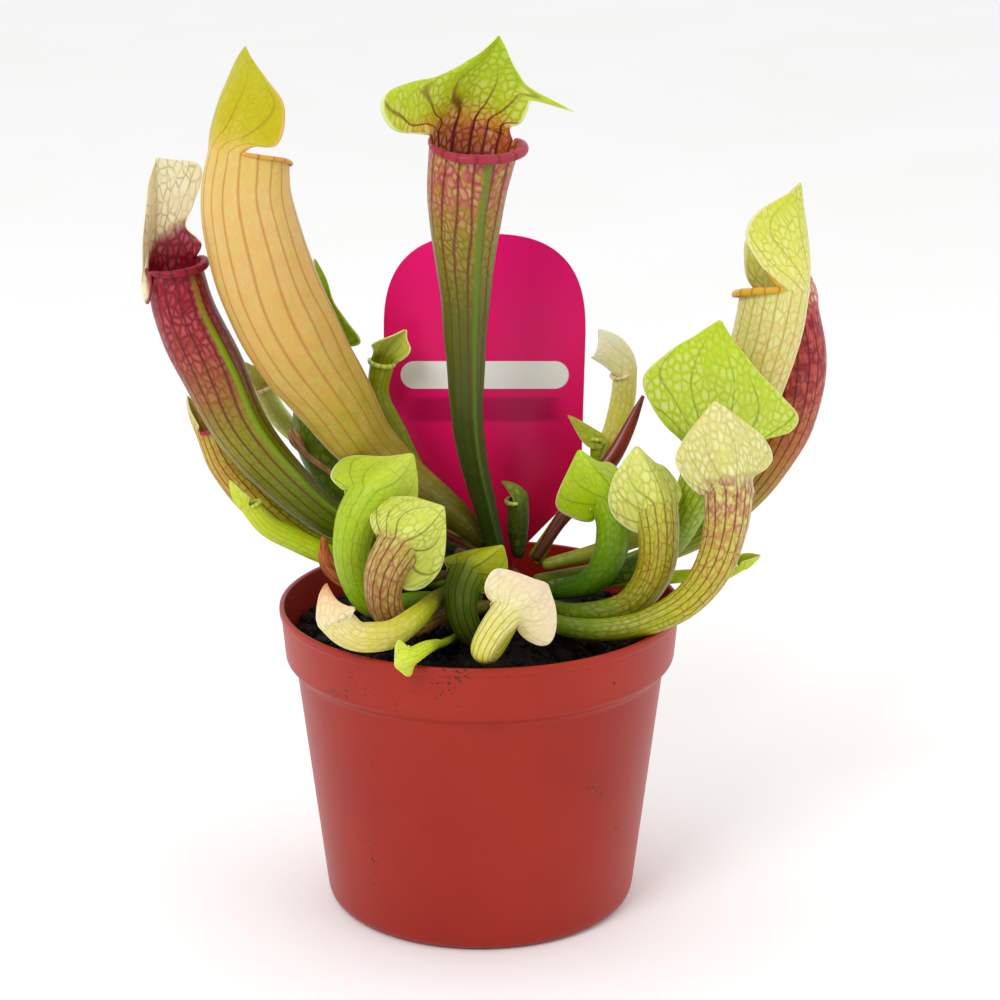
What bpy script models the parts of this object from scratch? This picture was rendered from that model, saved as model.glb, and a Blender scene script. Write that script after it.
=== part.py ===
"""Potted pitcher plant: a cluster of hooded, tube-shaped leaves in a 9 cm nursery pot with a plant label.

Metres, +Z up. The origin is the centre of the pot's flat underside, and -Y is the front.
"""

from math import cos, pi, radians, sin

import bmesh
import bpy
import numpy as np

MM = 0.001

# Pot: a 9 cm nursery pot with a collar.
POT_HEIGHT = 70
RIM_RADIUS = 45
COLLAR_HEIGHT = 12
COLLAR_FOOT_RADIUS = 43.7
BODY_TOP_RADIUS = 41.2
BASE_RADIUS = 34.8
WALL = 1.0
FLOOR = 1.6
DRAIN_HOLES = 6
DRAIN_RADIUS = 3
DRAIN_RING = 22
TURN_STEPS = 40
GAP = 0.3

# Growing medium and the plant's crown.
SOIL_EDGE = 61.5
SOIL_MOUND = 63.8
CROWN = (7, 8, 69)
CROWN_RADII = (3.6, 3.6, 6.2)

# Label: a rounded card on a spike, which leans back a little.
CARD_WIDTH = 46
CARD_TOP = 149.5
CARD_SHOULDER = 87
SPIKE_WIDTH = 11
SPIKE_TIP = 34
CARD_THICKNESS = 0.6
LABEL_PLACE = (1, 21.5, 62)
LABEL_LEAN = 3

MOUTH_BACK = pi / 2
TIP_HALF_WIDTH = 0.35
ROW_CROWDING = 1.4

# Each leaf: path = (x, y, z, radius) in mm from its base at the crown to its mouth, faces = the mouth's
# direction in degrees from +X, drop = how far the front of the mouth sinks, keel = the height of the seam.
# Its hood: lean = degrees toward the front at root and tip, sway = degrees sideways, fold = how far the left
# and right sides turn in, and left and right = each margin's (reach, hang) at stations from root to tip.
PITCHERS = {
    "pitcher_centre_tall": dict(
        path=[(4, 3.6, 80, 1.9), (1, 2, 92, 2.6), (-2, 0, 106, 3.3), (-3, -2, 128, 4.4),
              (-3, -3, 140, 5.4), (-3, -3, 156, 7.6), (-2, -3, 164, 8.7), (-0.4, -3, 172, 9.5)],
        faces=-66, drop=0.5, keel=1.2, wall=0.8, sides=12, rings=10, colour=(0.42, 0.48, 0.05),
        hood=dict(length=25, lean=(4, 20), sway=(2, 6), fold=((40, 5), (55, 20)),
                  left=((12, 2), (26, 2.5), (27, -1), (10.5, 7)),
                  right=((12, 0), (13.5, 1), (12.5, 0), (6, 0)))),
    "pitcher_left_yellow": dict(
        path=[(1.2, 7.4, 81, 2), (-6, 4, 89, 3.4), (-18, 2, 99, 5.1), (-26, 0, 107, 6.7),
              (-32, -2, 117, 8.3), (-39, -3, 128, 10), (-45, -3, 141, 10.6), (-48.5, -3, 153, 10.3),
              (-49.5, -3, 163, 9.8), (-48.5, -3, 170, 9.6)],
        faces=-4, drop=-0.5, keel=0.8, wall=0.9, sides=12, rings=11, colour=(0.62, 0.46, 0.12),
        hood=dict(length=25, lean=(0, 30), sway=(0, 0), fold=((88, 75), (88, 75)),
                  left=((15.5, -1.5), (18.7, -1), (18.5, -2), (13.5, -2.4)),
                  right=((15, -1), (17, -1), (16, -2), (11, -2)))),
    "pitcher_left_red": dict(
        path=[(-1.6, 7, 75, 1.7), (-18, 5, 80, 2.2), (-34, 3, 88.5, 4), (-43, 2, 97, 5.2),
              (-52, 2, 108, 6.1), (-59, 1, 124, 7.1), (-64, 0, 136, 7), (-66, 0, 147.5, 6.2)],
        faces=-48, drop=2, keel=1.2, wall=0.8, sides=12, rings=10, colour=(0.3, 0.12, 0.04),
        hood=dict(length=21, lean=(0, 12), sway=(12, 9), fold=((30, 10), (50, 30)),
                  left=((6.5, 1), (4.5, 0), (3.5, 0), (2, 0)),
                  right=((10.5, 0), (6.5, 0), (8, 0), (9.5, -3)))),
    "pitcher_left_back": dict(
        path=[(0.4, 11.8, 75.5, 1.5), (-14, 12, 81, 2.2), (-31, 14, 91, 3.8), (-37, 15, 103, 5),
              (-36, 16, 115, 5.6), (-34, 15, 124, 5.2)],
        faces=-20, drop=2, keel=0.6, wall=0.7, sides=8, rings=8, colour=(0.3, 0.4, 0.03),
        hood=dict(length=20, lean=(-4, -8), sway=(0, 0), fold=((80, 60), (80, 60)),
                  left=((10, 0), (8, 0), (6, 0), (3, 0)),
                  right=((13, 0.5), (9.5, 0), (6, 0), (3.5, 0)))),
    "pitcher_back_small": dict(
        path=[(2.6, 13.6, 77, 1.2), (-9, 15, 88, 1.6), (-19, 16, 105, 2.2), (-23, 17, 114, 2.4),
              (-22, 17, 121.5, 2.8)],
        faces=-100, drop=1, keel=0.3, wall=0.6, sides=8, rings=6, colour=(0.5, 0.5, 0.1),
        hood=dict(length=9.5, lean=(10, 30), sway=(20, 35), fold=((50, 20), (50, 20)),
                  left=((5, -2), (6, -2), (5, -1), (2.5, 0)),
                  right=((5, 0), (6, -1), (5, -1), (2, 0)))),
    "pitcher_left_pale": dict(
        path=[(-1, 14.6, 74, 1.2), (-18, 19, 83, 1.7), (-38, 22, 99, 2.2), (-47, 22, 108, 2.5),
              (-50, 22, 114, 2.6)],
        faces=-30, drop=1, keel=0.3, wall=0.6, sides=8, rings=6, colour=(0.6, 0.62, 0.2),
        hood=dict(length=7, lean=(10, 30), sway=(0, 0), fold=((60, 30), (60, 30)),
                  left=((4, 0), (5, 1), (4, 0), (2, 0)),
                  right=((4, 0), (5, 1), (4, 0), (2, 0)))),
    "pitcher_left_veined": dict(
        path=[(-0.8, 9.8, 70.5, 1.5), (-18, 9.4, 74.5, 2.1), (-40, 9, 82, 3), (-50, 9, 90, 3.9),
              (-57, 9, 99, 4), (-61, 9, 108, 3.2)],
        faces=-30, drop=1, keel=0.4, wall=0.7, sides=8, rings=8, colour=(0.5, 0.4, 0.06),
        hood=dict(length=8, lean=(0, 30), sway=(0, 0), fold=((70, 40), (70, 40)),
                  left=((4.5, 0), (5, 0.5), (4, 0), (2, 0)),
                  right=((4.5, 0), (5, 0.5), (4, 0), (2, 0)))),
    "pitcher_left_low": dict(
        path=[(-0.6, 3.8, 72, 1.2), (-18, -2.4, 76.5, 1.7), (-31, -5, 81, 2.2), (-40, -5, 85, 2.4),
              (-48, -5, 90, 2.4), (-51, -5, 94, 2.2)],
        faces=10, drop=1, keel=0.3, wall=0.6, sides=8, rings=7, colour=(0.45, 0.6, 0.03),
        hood=dict(length=7, lean=(0, 40), sway=(0, 0), fold=((80, 50), (80, 50)),
                  left=((3, 0), (4, 0), (3, 0), (2, 0)),
                  right=((3, 0), (4, 0), (3, 0), (2, 0)))),
    "pitcher_front_left_green": dict(
        path=[(0.4, 0.8, 70, 1.4), (-12, -9, 73, 2), (-24, -17.5, 75.5, 3.2), (-27.5, -19, 86, 3.9),
              (-26.5, -18, 94, 4.6), (-23, -16, 100, 5)],
        faces=78, drop=4, keel=0.5, wall=0.7, sides=12, rings=7, colour=(0.42, 0.56, 0.05),
        hood=dict(length=12.5, lean=(5, 40), sway=(-16, -14), fold=((55, 35), (55, 35)),
                  left=((8.5, 4), (13, 4), (12, 2.5), (7, 1)),
                  right=((11.5, 1.5), (16.5, 1.5), (17, -1.5), (10.5, -1.5)))),
    "pitcher_front_left_veined": dict(
        path=[(2.6, -0.8, 69, 1.3), (-8, -12.6, 71, 2.2), (-18, -25.5, 73.5, 3.2), (-20.5, -28.5, 81, 4),
              (-19, -29, 88, 4.6), (-15.8, -28, 93, 5)],
        faces=75, drop=4, keel=0.5, wall=0.7, sides=12, rings=7, colour=(0.5, 0.45, 0.1),
        hood=dict(length=12, lean=(5, 40), sway=(-16, -16), fold=((50, 35), (50, 35)),
                  left=((10.5, 8), (14, 8.5), (12, 5), (6.5, 1.5)),
                  right=((10, 1.5), (15, 0), (15, -3.5), (8.5, -3.5)))),
    "pitcher_rim_cream": dict(
        path=[(2.8, 1.4, 74.2, 1.2), (-7.6, -11.6, 75.2, 1.6), (-11, -20, 75.4, 1.9),
              (-13.6, -30, 75.9, 2.4), (-19.5, -37.4, 74.6, 3), (-27, -39.5, 76, 3.5),
              (-30.8, -39.5, 80.2, 3.7)],
        faces=20, drop=2, keel=0.4, wall=0.7, sides=8, rings=6, colour=(0.75, 0.6, 0.35),
        hood=dict(length=9.5, lean=(30, 85), sway=(0, 0), fold=((85, 70), (85, 70)),
                  left=((7, 0), (8.5, -1), (7, -1), (4, 0)),
                  right=((7, 0), (8, -1), (7, -1), (4, 0)))),
    "pitcher_rim_tiny": dict(
        path=[(5, -2.2, 66.6, 0.8), (-4.8, -14, 66.4, 0.8), (-8, -26, 69, 0.9), (-9.5, -36, 72.4, 1.2),
              (-11.5, -42.5, 73.6, 1.6), (-13.8, -45.5, 73.2, 1.9)],
        faces=80, drop=0.5, keel=0.2, wall=0.5, sides=8, rings=6, colour=(0.5, 0.65, 0.06),
        hood=dict(length=5.6, lean=(10, 50), sway=(0, 0), fold=((40, 10), (40, 10)),
                  left=((4, 0), (4.8, 0), (4.6, 0), (3.4, 0)),
                  right=((4, 0), (4.8, 0), (4.6, 0), (3.4, 0)))),
    "pitcher_front_dark": dict(
        path=[(8, -0.6, 70, 1.4), (3.5, -12, 68, 2.2), (-1.5, -17.5, 68, 3), (-4, -18.5, 74.5, 3.5),
              (-3.8, -17.5, 79, 3.8), (-2, -16, 82.5, 4)],
        faces=80, drop=3, keel=0.4, wall=0.7, sides=12, rings=7, colour=(0.22, 0.28, 0.03),
        hood=dict(length=10, lean=(5, 50), sway=(-28, -28), fold=((50, 30), (50, 30)),
                  left=((8, 3), (9, 3), (7, 1), (4, 0)),
                  right=((7, 1), (9, 1), (7, 0), (4, 0)))),
    "pitcher_front_cream": dict(
        path=[(10.6, -1.2, 73, 1.2), (7.5, -24, 73.5, 1.5), (2, -38, 71, 2.2), (0.6, -41.5, 73, 2.9),
              (2.6, -41.5, 78, 3.3), (5.4, -40, 81.5, 3.6)],
        faces=80, drop=2, keel=0.4, wall=0.7, sides=12, rings=7, colour=(0.85, 0.7, 0.5),
        hood=dict(length=10.5, lean=(0, 35), sway=(-13, -13), fold=((35, 15), (35, 15)),
                  left=((9.5, 5), (13, 5), (11.5, 3.5), (6.5, 1.5)),
                  right=((7, 1.5), (9.5, 1), (10.5, -1), (6, -1)))),
    "pitcher_crown_young": dict(
        path=[(8.8, 9.6, 76.6, 1.3), (8.6, 9.6, 82, 2), (8.6, 9, 88.5, 2)],
        faces=180, drop=0.5, keel=0.2, wall=0.6, sides=8, rings=5, colour=(0.12, 0.16, 0.02),
        hood=dict(length=8, lean=(20, 100), sway=(0, 0), fold=((80, 60), (80, 60)),
                  left=((4, 0), (4, 0), (3, 0), (2, 0)),
                  right=((4, 0), (4, 0), (3, 0), (2, 0)))),
    "pitcher_back_young": dict(
        path=[(13, 12.6, 74, 0.9), (20, 15.5, 87, 1), (26, 18, 95.5, 1.1), (27.3, 18.5, 102.4, 2.1)],
        faces=180, drop=0, keel=0.2, wall=0.5, sides=8, rings=6, colour=(0.4, 0.4, 0.04),
        hood=dict(length=11.5, lean=(60, 80), sway=(0, 0), fold=((80, 60), (80, 60)),
                  left=((4, 0), (4.5, 0), (4, 0), (2.5, 0)),
                  right=((4, 0), (4.5, 0), (4, 0), (2.5, 0)))),
    "pitcher_back_pale": dict(
        path=[(11.6, 14.4, 75, 1.1), (19, 18.5, 84, 1.6), (29.5, 24, 99, 2.6), (32.8, 27, 109, 2.9),
              (33.2, 27, 117, 2.8)],
        faces=200, drop=2, keel=0.3, wall=0.7, sides=8, rings=7, colour=(0.62, 0.6, 0.15),
        hood=dict(length=14, lean=(15, 80), sway=(0, 0), fold=((85, 60), (85, 60)),
                  left=((6, 0), (7, -2), (6, -2), (4, -1)),
                  right=((7, 0), (9, -3), (9, -5), (6, -3)))),
    "pitcher_right_green": dict(
        path=[(13.9, 3, 70.8, 1.4), (20, -1.6, 73, 2.2), (26, -5, 77, 3.2), (29, -5.5, 83, 3.7),
              (29.5, -5, 90, 3.9), (28, -4.5, 96, 4.1)],
        faces=110, drop=4, keel=0.4, wall=0.7, sides=12, rings=7, colour=(0.3, 0.46, 0.03),
        hood=dict(length=13, lean=(0, 40), sway=(18, 18), fold=((50, 35), (50, 35)),
                  left=((8, 0), (9, -1), (7, -2), (3.5, 0)),
                  right=((9, 5), (12.5, 5), (13, 3.5), (9, 2.5)))),
    "pitcher_right_veined": dict(
        path=[(12.9, -1, 70, 1.4), (22, -11.5, 70.8, 2.3), (33, -14.5, 74, 3.4),
              (38.2, -14.5, 81.5, 4.1), (39, -14, 89.5, 4.4), (38.2, -13, 97, 4.8)],
        faces=105, drop=4, keel=0.5, wall=0.7, sides=12, rings=7, colour=(0.5, 0.5, 0.06),
        hood=dict(length=14, lean=(0, 40), sway=(14, 14), fold=((50, 35), (50, 35)),
                  left=((9, 1), (10, 0), (7.5, -2), (4, 0)),
                  right=((7.5, 6.5), (11.5, 6.5), (12, 4), (8, 1.5)))),
    "pitcher_right_pink": dict(
        path=[(9.8, -4.4, 69.8, 1.4), (20.5, -18, 69.6, 2.3), (36, -22.5, 72.4, 2.8),
              (46, -22.5, 78.5, 3.6), (51, -22, 86, 4.2), (53, -21, 94, 4.7), (53.5, -20.5, 103, 5.4)],
        faces=96, drop=4, keel=0.6, wall=0.8, sides=12, rings=9, colour=(0.6, 0.48, 0.1),
        hood=dict(length=19.5, lean=(0, 40), sway=(13, 13), fold=((45, 25), (45, 25)),
                  left=((8, -1), (12.5, 0.5), (14.5, 1), (10, -0.5)),
                  right=((8.5, 3), (11, 4), (12, 2.5), (7.5, 1)))),
    "pitcher_right_broad": dict(
        path=[(14.6, 5.6, 71, 1.3), (27, 1.5, 74.5, 2.2), (41, -0.5, 82, 3.3), (47, -2, 94, 4.4),
              (51.5, -3, 104, 5.6)],
        faces=92, drop=4, keel=0.5, wall=0.8, sides=12, rings=8, colour=(0.5, 0.6, 0.1),
        hood=dict(length=32.5, lean=(0, 15), sway=(22, 23), fold=((25, 10), (25, 10)),
                  left=((12.5, -6), (19.5, -4), (21, -1.5), (7, 0.5)),
                  right=((9, 2), (15, 4), (18.5, 4), (11, 2)))),
    "pitcher_far_right_yellow": dict(
        path=[(14, 9.4, 75, 1.3), (30, 11, 79, 2), (46, 11, 87, 3), (57, 10, 103, 4.9),
              (61.5, 10, 118, 6.8), (64, 10, 130, 7.7), (65.5, 10, 140, 7.6)],
        faces=188, drop=3, keel=0.5, wall=0.8, sides=12, rings=9, colour=(0.65, 0.6, 0.14),
        hood=dict(length=23.5, lean=(14, 26), sway=(0, 0), fold=((86, 75), (86, 75)),
                  left=((19, -3), (19.5, -3), (18, -4), (11, -3)),
                  right=((15, -2.5), (17.5, -4), (18.5, -4.5), (12, -4)))),
    "pitcher_far_right_red": dict(
        path=[(12, 11.6, 70.6, 1.3), (32, 18, 72, 2.1), (52, 21, 80, 3.3), (64, 23.5, 92, 4.8),
              (71, 25, 106, 6.2), (72.5, 25, 120, 6.5), (71, 25, 131, 6)],
        faces=190, drop=2, keel=0.4, wall=0.8, sides=12, rings=8, colour=(0.4, 0.12, 0.06),
        hood=dict(length=9, lean=(0, 20), sway=(0, 0), fold=((80, 50), (80, 50)),
                  left=((7, 0), (7, 0), (5, 0), (3, 0)),
                  right=((7, 0), (7, 0), (5, 0), (3, 0)))),
    "pitcher_right_tiny": dict(
        path=[(15.8, 7.8, 69.4, 1.1), (32, 7.6, 71.8, 1.3), (46, 7.6, 73, 1.6), (54, 7, 73.6, 1.8),
              (58.5, 6.5, 76.4, 1.8)],
        faces=180, drop=0.5, keel=0.2, wall=0.5, sides=8, rings=6, colour=(0.5, 0.6, 0.05),
        hood=dict(length=5, lean=(0, 30), sway=(0, 0), fold=((80, 50), (80, 50)),
                  left=((3, 0), (3.4, 0), (3, 0), (2, 0)),
                  right=((3, 0), (3.4, 0), (3, 0), (2, 0)))),
}

# Plain tapering leaves and remains: points (x, y, z, radius) in mm.
STEMS = {
    "spear_leaf_red": ((0.3, 0.05, 0.03),
                       [(12.4, 8.6, 76.5, 1.1), (17, 9.4, 84, 1.5), (23, 10.8, 91, 1.9), (30, 13, 99.6, 1.9),
                        (34, 15.5, 106.4, 1.4), (37, 18, 112.6, 0.4)]),
    "dried_bud": ((0.45, 0.25, 0.1),
                  [(0.2, 9.4, 79, 0.8), (-18, 9.6, 88, 0.7), (-36, 9, 99, 0.7), (-39.5, 8.6, 102, 0.8),
                   (-41.5, 8.4, 105.5, 1.5), (-42.5, 8.4, 107.5, 0.5)]),
    "dried_sheath": ((0.4, 0.13, 0.02),
                     [(-1.8, 0, 74.5, 0.8), (-19, -8.4, 79.5, 0.9), (-29, -9.6, 77.4, 1.6),
                      (-33.5, -10, 82, 1.8), (-34.5, -10, 88, 0.5)]),
    "old_petiole_left": ((0.22, 0.14, 0.05),
                         [(2.2, 2.8, 77, 1), (-6, -8, 79, 1.1), (-12.5, -15.5, 79.4, 0.9)]),
    "old_petiole_front": ((0.2, 0.12, 0.04),
                          [(5.4, 0.8, 75.6, 1), (0.6, -5.2, 81, 1.1), (-5, -9.4, 84.5, 0.9)]),
}


def clear_scene():
    for obj in list(bpy.data.objects):
        bpy.data.objects.remove(obj, do_unlink=True)


def new_collection(name):
    collection = bpy.data.collections.new(name)
    bpy.context.scene.collection.children.link(collection)
    return collection


def make_material(name, colour, roughness):
    material = bpy.data.materials.new(name)
    material.use_nodes = True
    shader = material.node_tree.nodes["Principled BSDF"]
    shader.inputs["Base Color"].default_value = (*colour, 1)
    shader.inputs["Roughness"].default_value = roughness
    shader.inputs["Metallic"].default_value = 0
    return material


def new_object(name, data, collection, colour=None, roughness=0.5):
    obj = bpy.data.objects.new(name, data)
    collection.objects.link(obj)
    if colour:
        data.materials.append(make_material(name, colour, roughness))
    return obj


def mesh_from(bm, name):
    mesh = bpy.data.meshes.new(name)
    bm.to_mesh(mesh)
    bm.free()
    mesh.shade_smooth()
    mesh.set_sharp_from_angle(angle=radians(50))
    return mesh


def unit(vectors):
    return vectors / np.linalg.norm(vectors, axis=-1, keepdims=True)


def through(places, values, where):
    """Reads a smooth curve, which passes through the rows of values at places, at where."""
    slopes = np.gradient(values, places, axis=0)
    i = np.clip(np.searchsorted(places, where, side="right") - 1, 0, len(places) - 2)
    span = (places[i + 1] - places[i])[:, None]
    t = (where - places[i])[:, None] / span
    return ((2 * t**3 - 3 * t**2 + 1) * values[i] + (t**3 - 2 * t**2 + t) * span * slopes[i]
            + (3 * t**2 - 2 * t**3) * values[i + 1] + (t**3 - t**2) * span * slopes[i + 1])


def along(points, rows):
    """Evenly spaced rows on a smooth curve through the points, radius included."""
    points = np.array(points, float)
    lengths = np.r_[0, np.cumsum(np.linalg.norm(np.diff(points[:, :3], axis=0), axis=1))]
    return through(lengths, points, np.linspace(0, lengths[-1], rows))


def smoothstep(x):
    x = np.clip(x, 0, 1)
    return x * x * (3 - 2 * x)


def tube_rows(leaf, rings):
    """The tube's rings from its base to its mouth, and the mouth's centre, radius and axes."""
    path = along(leaf["path"], rings)
    centres, radii = path[:, :3], path[:, 3]
    tangents = unit(np.gradient(centres, axis=0))
    angle = radians(leaf["faces"])
    front = np.array([cos(angle), sin(angle), 0])
    turns = 2 * pi * np.arange(leaf["sides"]) / leaf["sides"]
    rows = []
    for i in reversed(range(rings)):
        front = unit(front - front.dot(tangents[i]) * tangents[i])
        side = np.cross(tangents[i], front)
        share = i / (rings - 1)
        keel = leaf["keel"] * sin(pi * share) * np.clip(-np.cos(turns), 0, 1) ** 8
        lowered = leaf["drop"] * (1 - np.cos(turns)) / 2 * smoothstep((share - 0.7) / 0.3)
        reach = (radii[i] + keel)[:, None]
        row = centres[i] + reach * (np.sin(turns)[:, None] * side - np.cos(turns)[:, None] * front)
        rows.insert(0, row - lowered[:, None] * tangents[i])
        if i == rings - 1:
            mouth = (centres[i], radii[i], tangents[i], front, side)
    return rows, mouth


def hood_rows(hood, mouth, columns, count):
    """The hood's rows from the back of the mouth to its tip, each from the left margin to the right one."""
    centre, radius, axis, front, side = mouth
    u = np.linspace(-1, 1, columns)
    ribs = np.linspace(0, 1, count + 1) ** ROW_CROWDING
    margins = []
    for half in (hood["left"], hood["right"]):
        places = np.linspace(0, 1, len(half) + 2) ** ROW_CROWDING
        margins.append(through(places, np.array([(radius * MOUTH_BACK, 0), *half, (0, 0)], float), ribs))
    midrib = centre - radius * front
    rows = []
    for i, t in enumerate(ribs[1:], 1):
        middle = (ribs[i - 1] + t) / 2
        lean = radians(np.interp(middle, (0, 1), hood["lean"]))
        sway = radians(np.interp(middle, (0, 1), hood["sway"]))
        up = cos(lean) * (cos(sway) * axis + sin(sway) * side) + sin(lean) * front
        ahead = unit(cos(lean) * front - sin(lean) * axis)
        midrib = midrib + hood["length"] * (t - ribs[i - 1]) * up
        (left, left_hang), (right, right_hang) = margins[0][i], margins[1][i]
        bend = radius * (1 - 0.5 * t)
        reach = np.abs(u) * (np.maximum(np.where(u < 0, left, right), 0) + TIP_HALF_WIDTH)
        fold = np.where(u < 0, *[np.interp(t, (0, 0.2, 1), (MOUTH_BACK, radians(pair[0]), radians(pair[1])))
                                 for pair in hood["fold"]])
        turned = np.minimum(reach / bend, fold)
        straight = np.maximum(reach - bend * fold, 0)
        across = np.sign(u) * (bend * np.sin(turned) + straight * np.cos(fold))
        forward = bend * (1 - np.cos(turned)) + straight * np.sin(fold)
        drop = np.where(u < 0, left_hang, right_hang) * u**2
        rows.append(midrib + across[:, None] * side + forward[:, None] * ahead - drop[:, None] * up)
    return rows


def grow(bm, chain, points, closed):
    """Extrudes a chain of vertices onto the next row of points."""
    ends = list(zip(chain, chain[1:] + chain[:1] if closed else chain[1:]))
    made = bmesh.ops.extrude_edge_only(bm, edges=[bm.edges.get(pair) for pair in ends])["geom"]
    new = {item for item in made if isinstance(item, bmesh.types.BMVert)}
    following = []
    for vert, point in zip(chain, points):
        partner = next(edge.other_vert(vert) for edge in vert.link_edges if edge.other_vert(vert) in new)
        partner.co = point * MM
        following.append(partner)
    return following


def make_pitcher(name, leaf, collection):
    """One leaf: a ring is drawn out along its path to the mouth, and the back of the mouth into the hood."""
    sides = leaf["sides"]
    rows, mouth = tube_rows(leaf, leaf["rings"])
    bm = bmesh.new()
    chain = bmesh.ops.create_circle(bm, cap_ends=True, segments=sides, radius=MM)["verts"]
    for vert, point in zip(chain, rows[0]):
        vert.co = point * MM
    for row in rows[1:]:
        chain = grow(bm, chain, row, closed=True)
    quarter = sides // 4
    chain = chain[-quarter:] + chain[: quarter + 1]
    for row in hood_rows(leaf["hood"], mouth, len(chain), max(3, leaf["rings"] // 2)):
        chain = grow(bm, chain, row, closed=False)
    bmesh.ops.recalc_face_normals(bm, faces=bm.faces)
    bm.faces.ensure_lookup_table()
    base = bm.faces[0]
    if base.normal.dot(rows[1].mean(0) - rows[0].mean(0)) > 0:
        bmesh.ops.reverse_faces(bm, faces=bm.faces)
    obj = new_object(name, mesh_from(bm, name), collection, leaf["colour"], 0.45)
    wall = obj.modifiers.new("wall", "SOLIDIFY")
    wall.thickness = leaf["wall"] * MM
    wall.offset = -1


def make_stem(name, colour, points, collection):
    """A solid tapering leaf or remnant, a beveled curve with closed ends."""
    rows = along(points, 2 * len(points) + 1)
    curve = bpy.data.curves.new(name, "CURVE")
    curve.dimensions = "3D"
    curve.bevel_depth = MM
    curve.bevel_resolution = 1
    curve.use_fill_caps = True
    spline = curve.splines.new("POLY")
    spline.points.add(len(rows) - 1)
    for point, (x, y, z, radius) in zip(spline.points, rows):
        point.co = (x * MM, y * MM, z * MM, 1)
        point.radius = radius
    new_object(name, curve, collection, colour, 0.6)


def make_turned(name, profile, collection, colour=None, roughness=0.5):
    """Turns a profile of (radius, height) points, which starts and ends on the axis."""
    bm = bmesh.new()
    verts = [bm.verts.new((radius * MM, 0, height * MM)) for radius, height in profile]
    for pair in zip(verts, verts[1:]):
        bm.edges.new(pair)
    mesh = bpy.data.meshes.new(name)
    bm.to_mesh(mesh)
    bm.free()
    obj = new_object(name, mesh, collection, colour, roughness)
    screw = obj.modifiers.new("turn", "SCREW")
    screw.steps = screw.render_steps = TURN_STEPS
    screw.use_merge_vertices = True
    screw.merge_threshold = 0.00001
    return obj


def cut(obj, cutter, name):
    """Takes a cutter's shape out of an object."""
    boolean = obj.modifiers.new(name, "BOOLEAN")
    boolean.operation = "DIFFERENCE"
    boolean.object = cutter
    cutter.hide_render = True
    cutter.display_type = "WIRE"


def body_radius(height):
    """Outer radius of the pot's tapered body."""
    return BASE_RADIUS + (BODY_TOP_RADIUS - BASE_RADIUS) * height / (POT_HEIGHT - COLLAR_HEIGHT - 3)


def make_pot(collection, cutters):
    collar_foot = POT_HEIGHT - COLLAR_HEIGHT
    corner = 3
    inside = [(0, FLOOR), (body_radius(FLOOR) - WALL - corner, FLOOR),
              (body_radius(corner + FLOOR) - WALL, corner + FLOOR),
              (BODY_TOP_RADIUS - WALL, collar_foot - 2), (COLLAR_FOOT_RADIUS - WALL, collar_foot + 1),
              (RIM_RADIUS - WALL - 0.2, POT_HEIGHT)]
    outside = [(RIM_RADIUS, POT_HEIGHT - 0.2), (RIM_RADIUS, POT_HEIGHT - 1.2),
               (RIM_RADIUS - 0.3, POT_HEIGHT - 1.5), (COLLAR_FOOT_RADIUS, collar_foot),
               (BODY_TOP_RADIUS, collar_foot - 2.6), (body_radius(corner), corner),
               (BASE_RADIUS - 0.6, 0.8), (BASE_RADIUS - 2, 0), (0, 0)]
    pot = make_turned("pot", inside + outside, collection, (0.42, 0.035, 0.02), 0.35)
    for i in range(DRAIN_HOLES):
        turn = 2 * pi * i / DRAIN_HOLES
        bm = bmesh.new()
        bmesh.ops.create_cone(bm, cap_ends=True, segments=12, radius1=DRAIN_RADIUS * MM,
                              radius2=DRAIN_RADIUS * MM, depth=4 * FLOOR * MM)
        hole = new_object(f"drain_{i}", mesh_from(bm, "drain"), cutters)
        hole.location = (DRAIN_RING * cos(turn) * MM, DRAIN_RING * sin(turn) * MM, 0)
        cut(pot, hole, f"drain_{i}")


def make_ellipsoid(name, grow_by, collection, colour=None):
    bm = bmesh.new()
    bmesh.ops.create_uvsphere(bm, u_segments=14, v_segments=8, radius=MM)
    radii = [radius + grow_by for radius in CROWN_RADII]
    bmesh.ops.scale(bm, vec=radii, verts=bm.verts)
    bmesh.ops.translate(bm, vec=[place * MM for place in CROWN], verts=bm.verts)
    return new_object(name, mesh_from(bm, name), collection, colour, 0.8)


def make_growing_medium(collection, cutters):
    clear = WALL + GAP
    low = FLOOR + GAP
    profile = [(0, SOIL_MOUND), (14, SOIL_MOUND - 0.3), (30, SOIL_EDGE + 0.6),
               (COLLAR_FOOT_RADIUS + 0.4 - clear, SOIL_EDGE),
               (COLLAR_FOOT_RADIUS - clear, POT_HEIGHT - COLLAR_HEIGHT + 1),
               (BODY_TOP_RADIUS - clear, POT_HEIGHT - COLLAR_HEIGHT - 2),
               (body_radius(5) - clear, 5), (body_radius(low) - clear - 4, low), (0, low)]
    soil = make_turned("growing_medium", profile, collection, (0.012, 0.008, 0.005), 0.95)
    cut(soil, make_ellipsoid("crown_pocket", GAP, cutters), "crown pocket")
    cut(soil, make_label("label_slot", GAP, cutters), "label slot")


def label_outline(grow_by):
    """Half outline of the label, from the spike's tip up to the arch's top, as (x, height) in mm."""
    half = CARD_WIDTH / 2
    narrow = SPIKE_WIDTH / 2
    arch = [(half * cos(turn), CARD_TOP - half * (1 - sin(turn)))
            for turn in np.linspace(0, pi / 2, 10)]
    side = [(0.8, SPIKE_TIP), (narrow, SPIKE_TIP + 14), (narrow, CARD_SHOULDER - 20),
            (narrow + 4, CARD_SHOULDER - 11), (half - 3, CARD_SHOULDER)]
    return [(x + grow_by, z) for x, z in side + arch]


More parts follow.
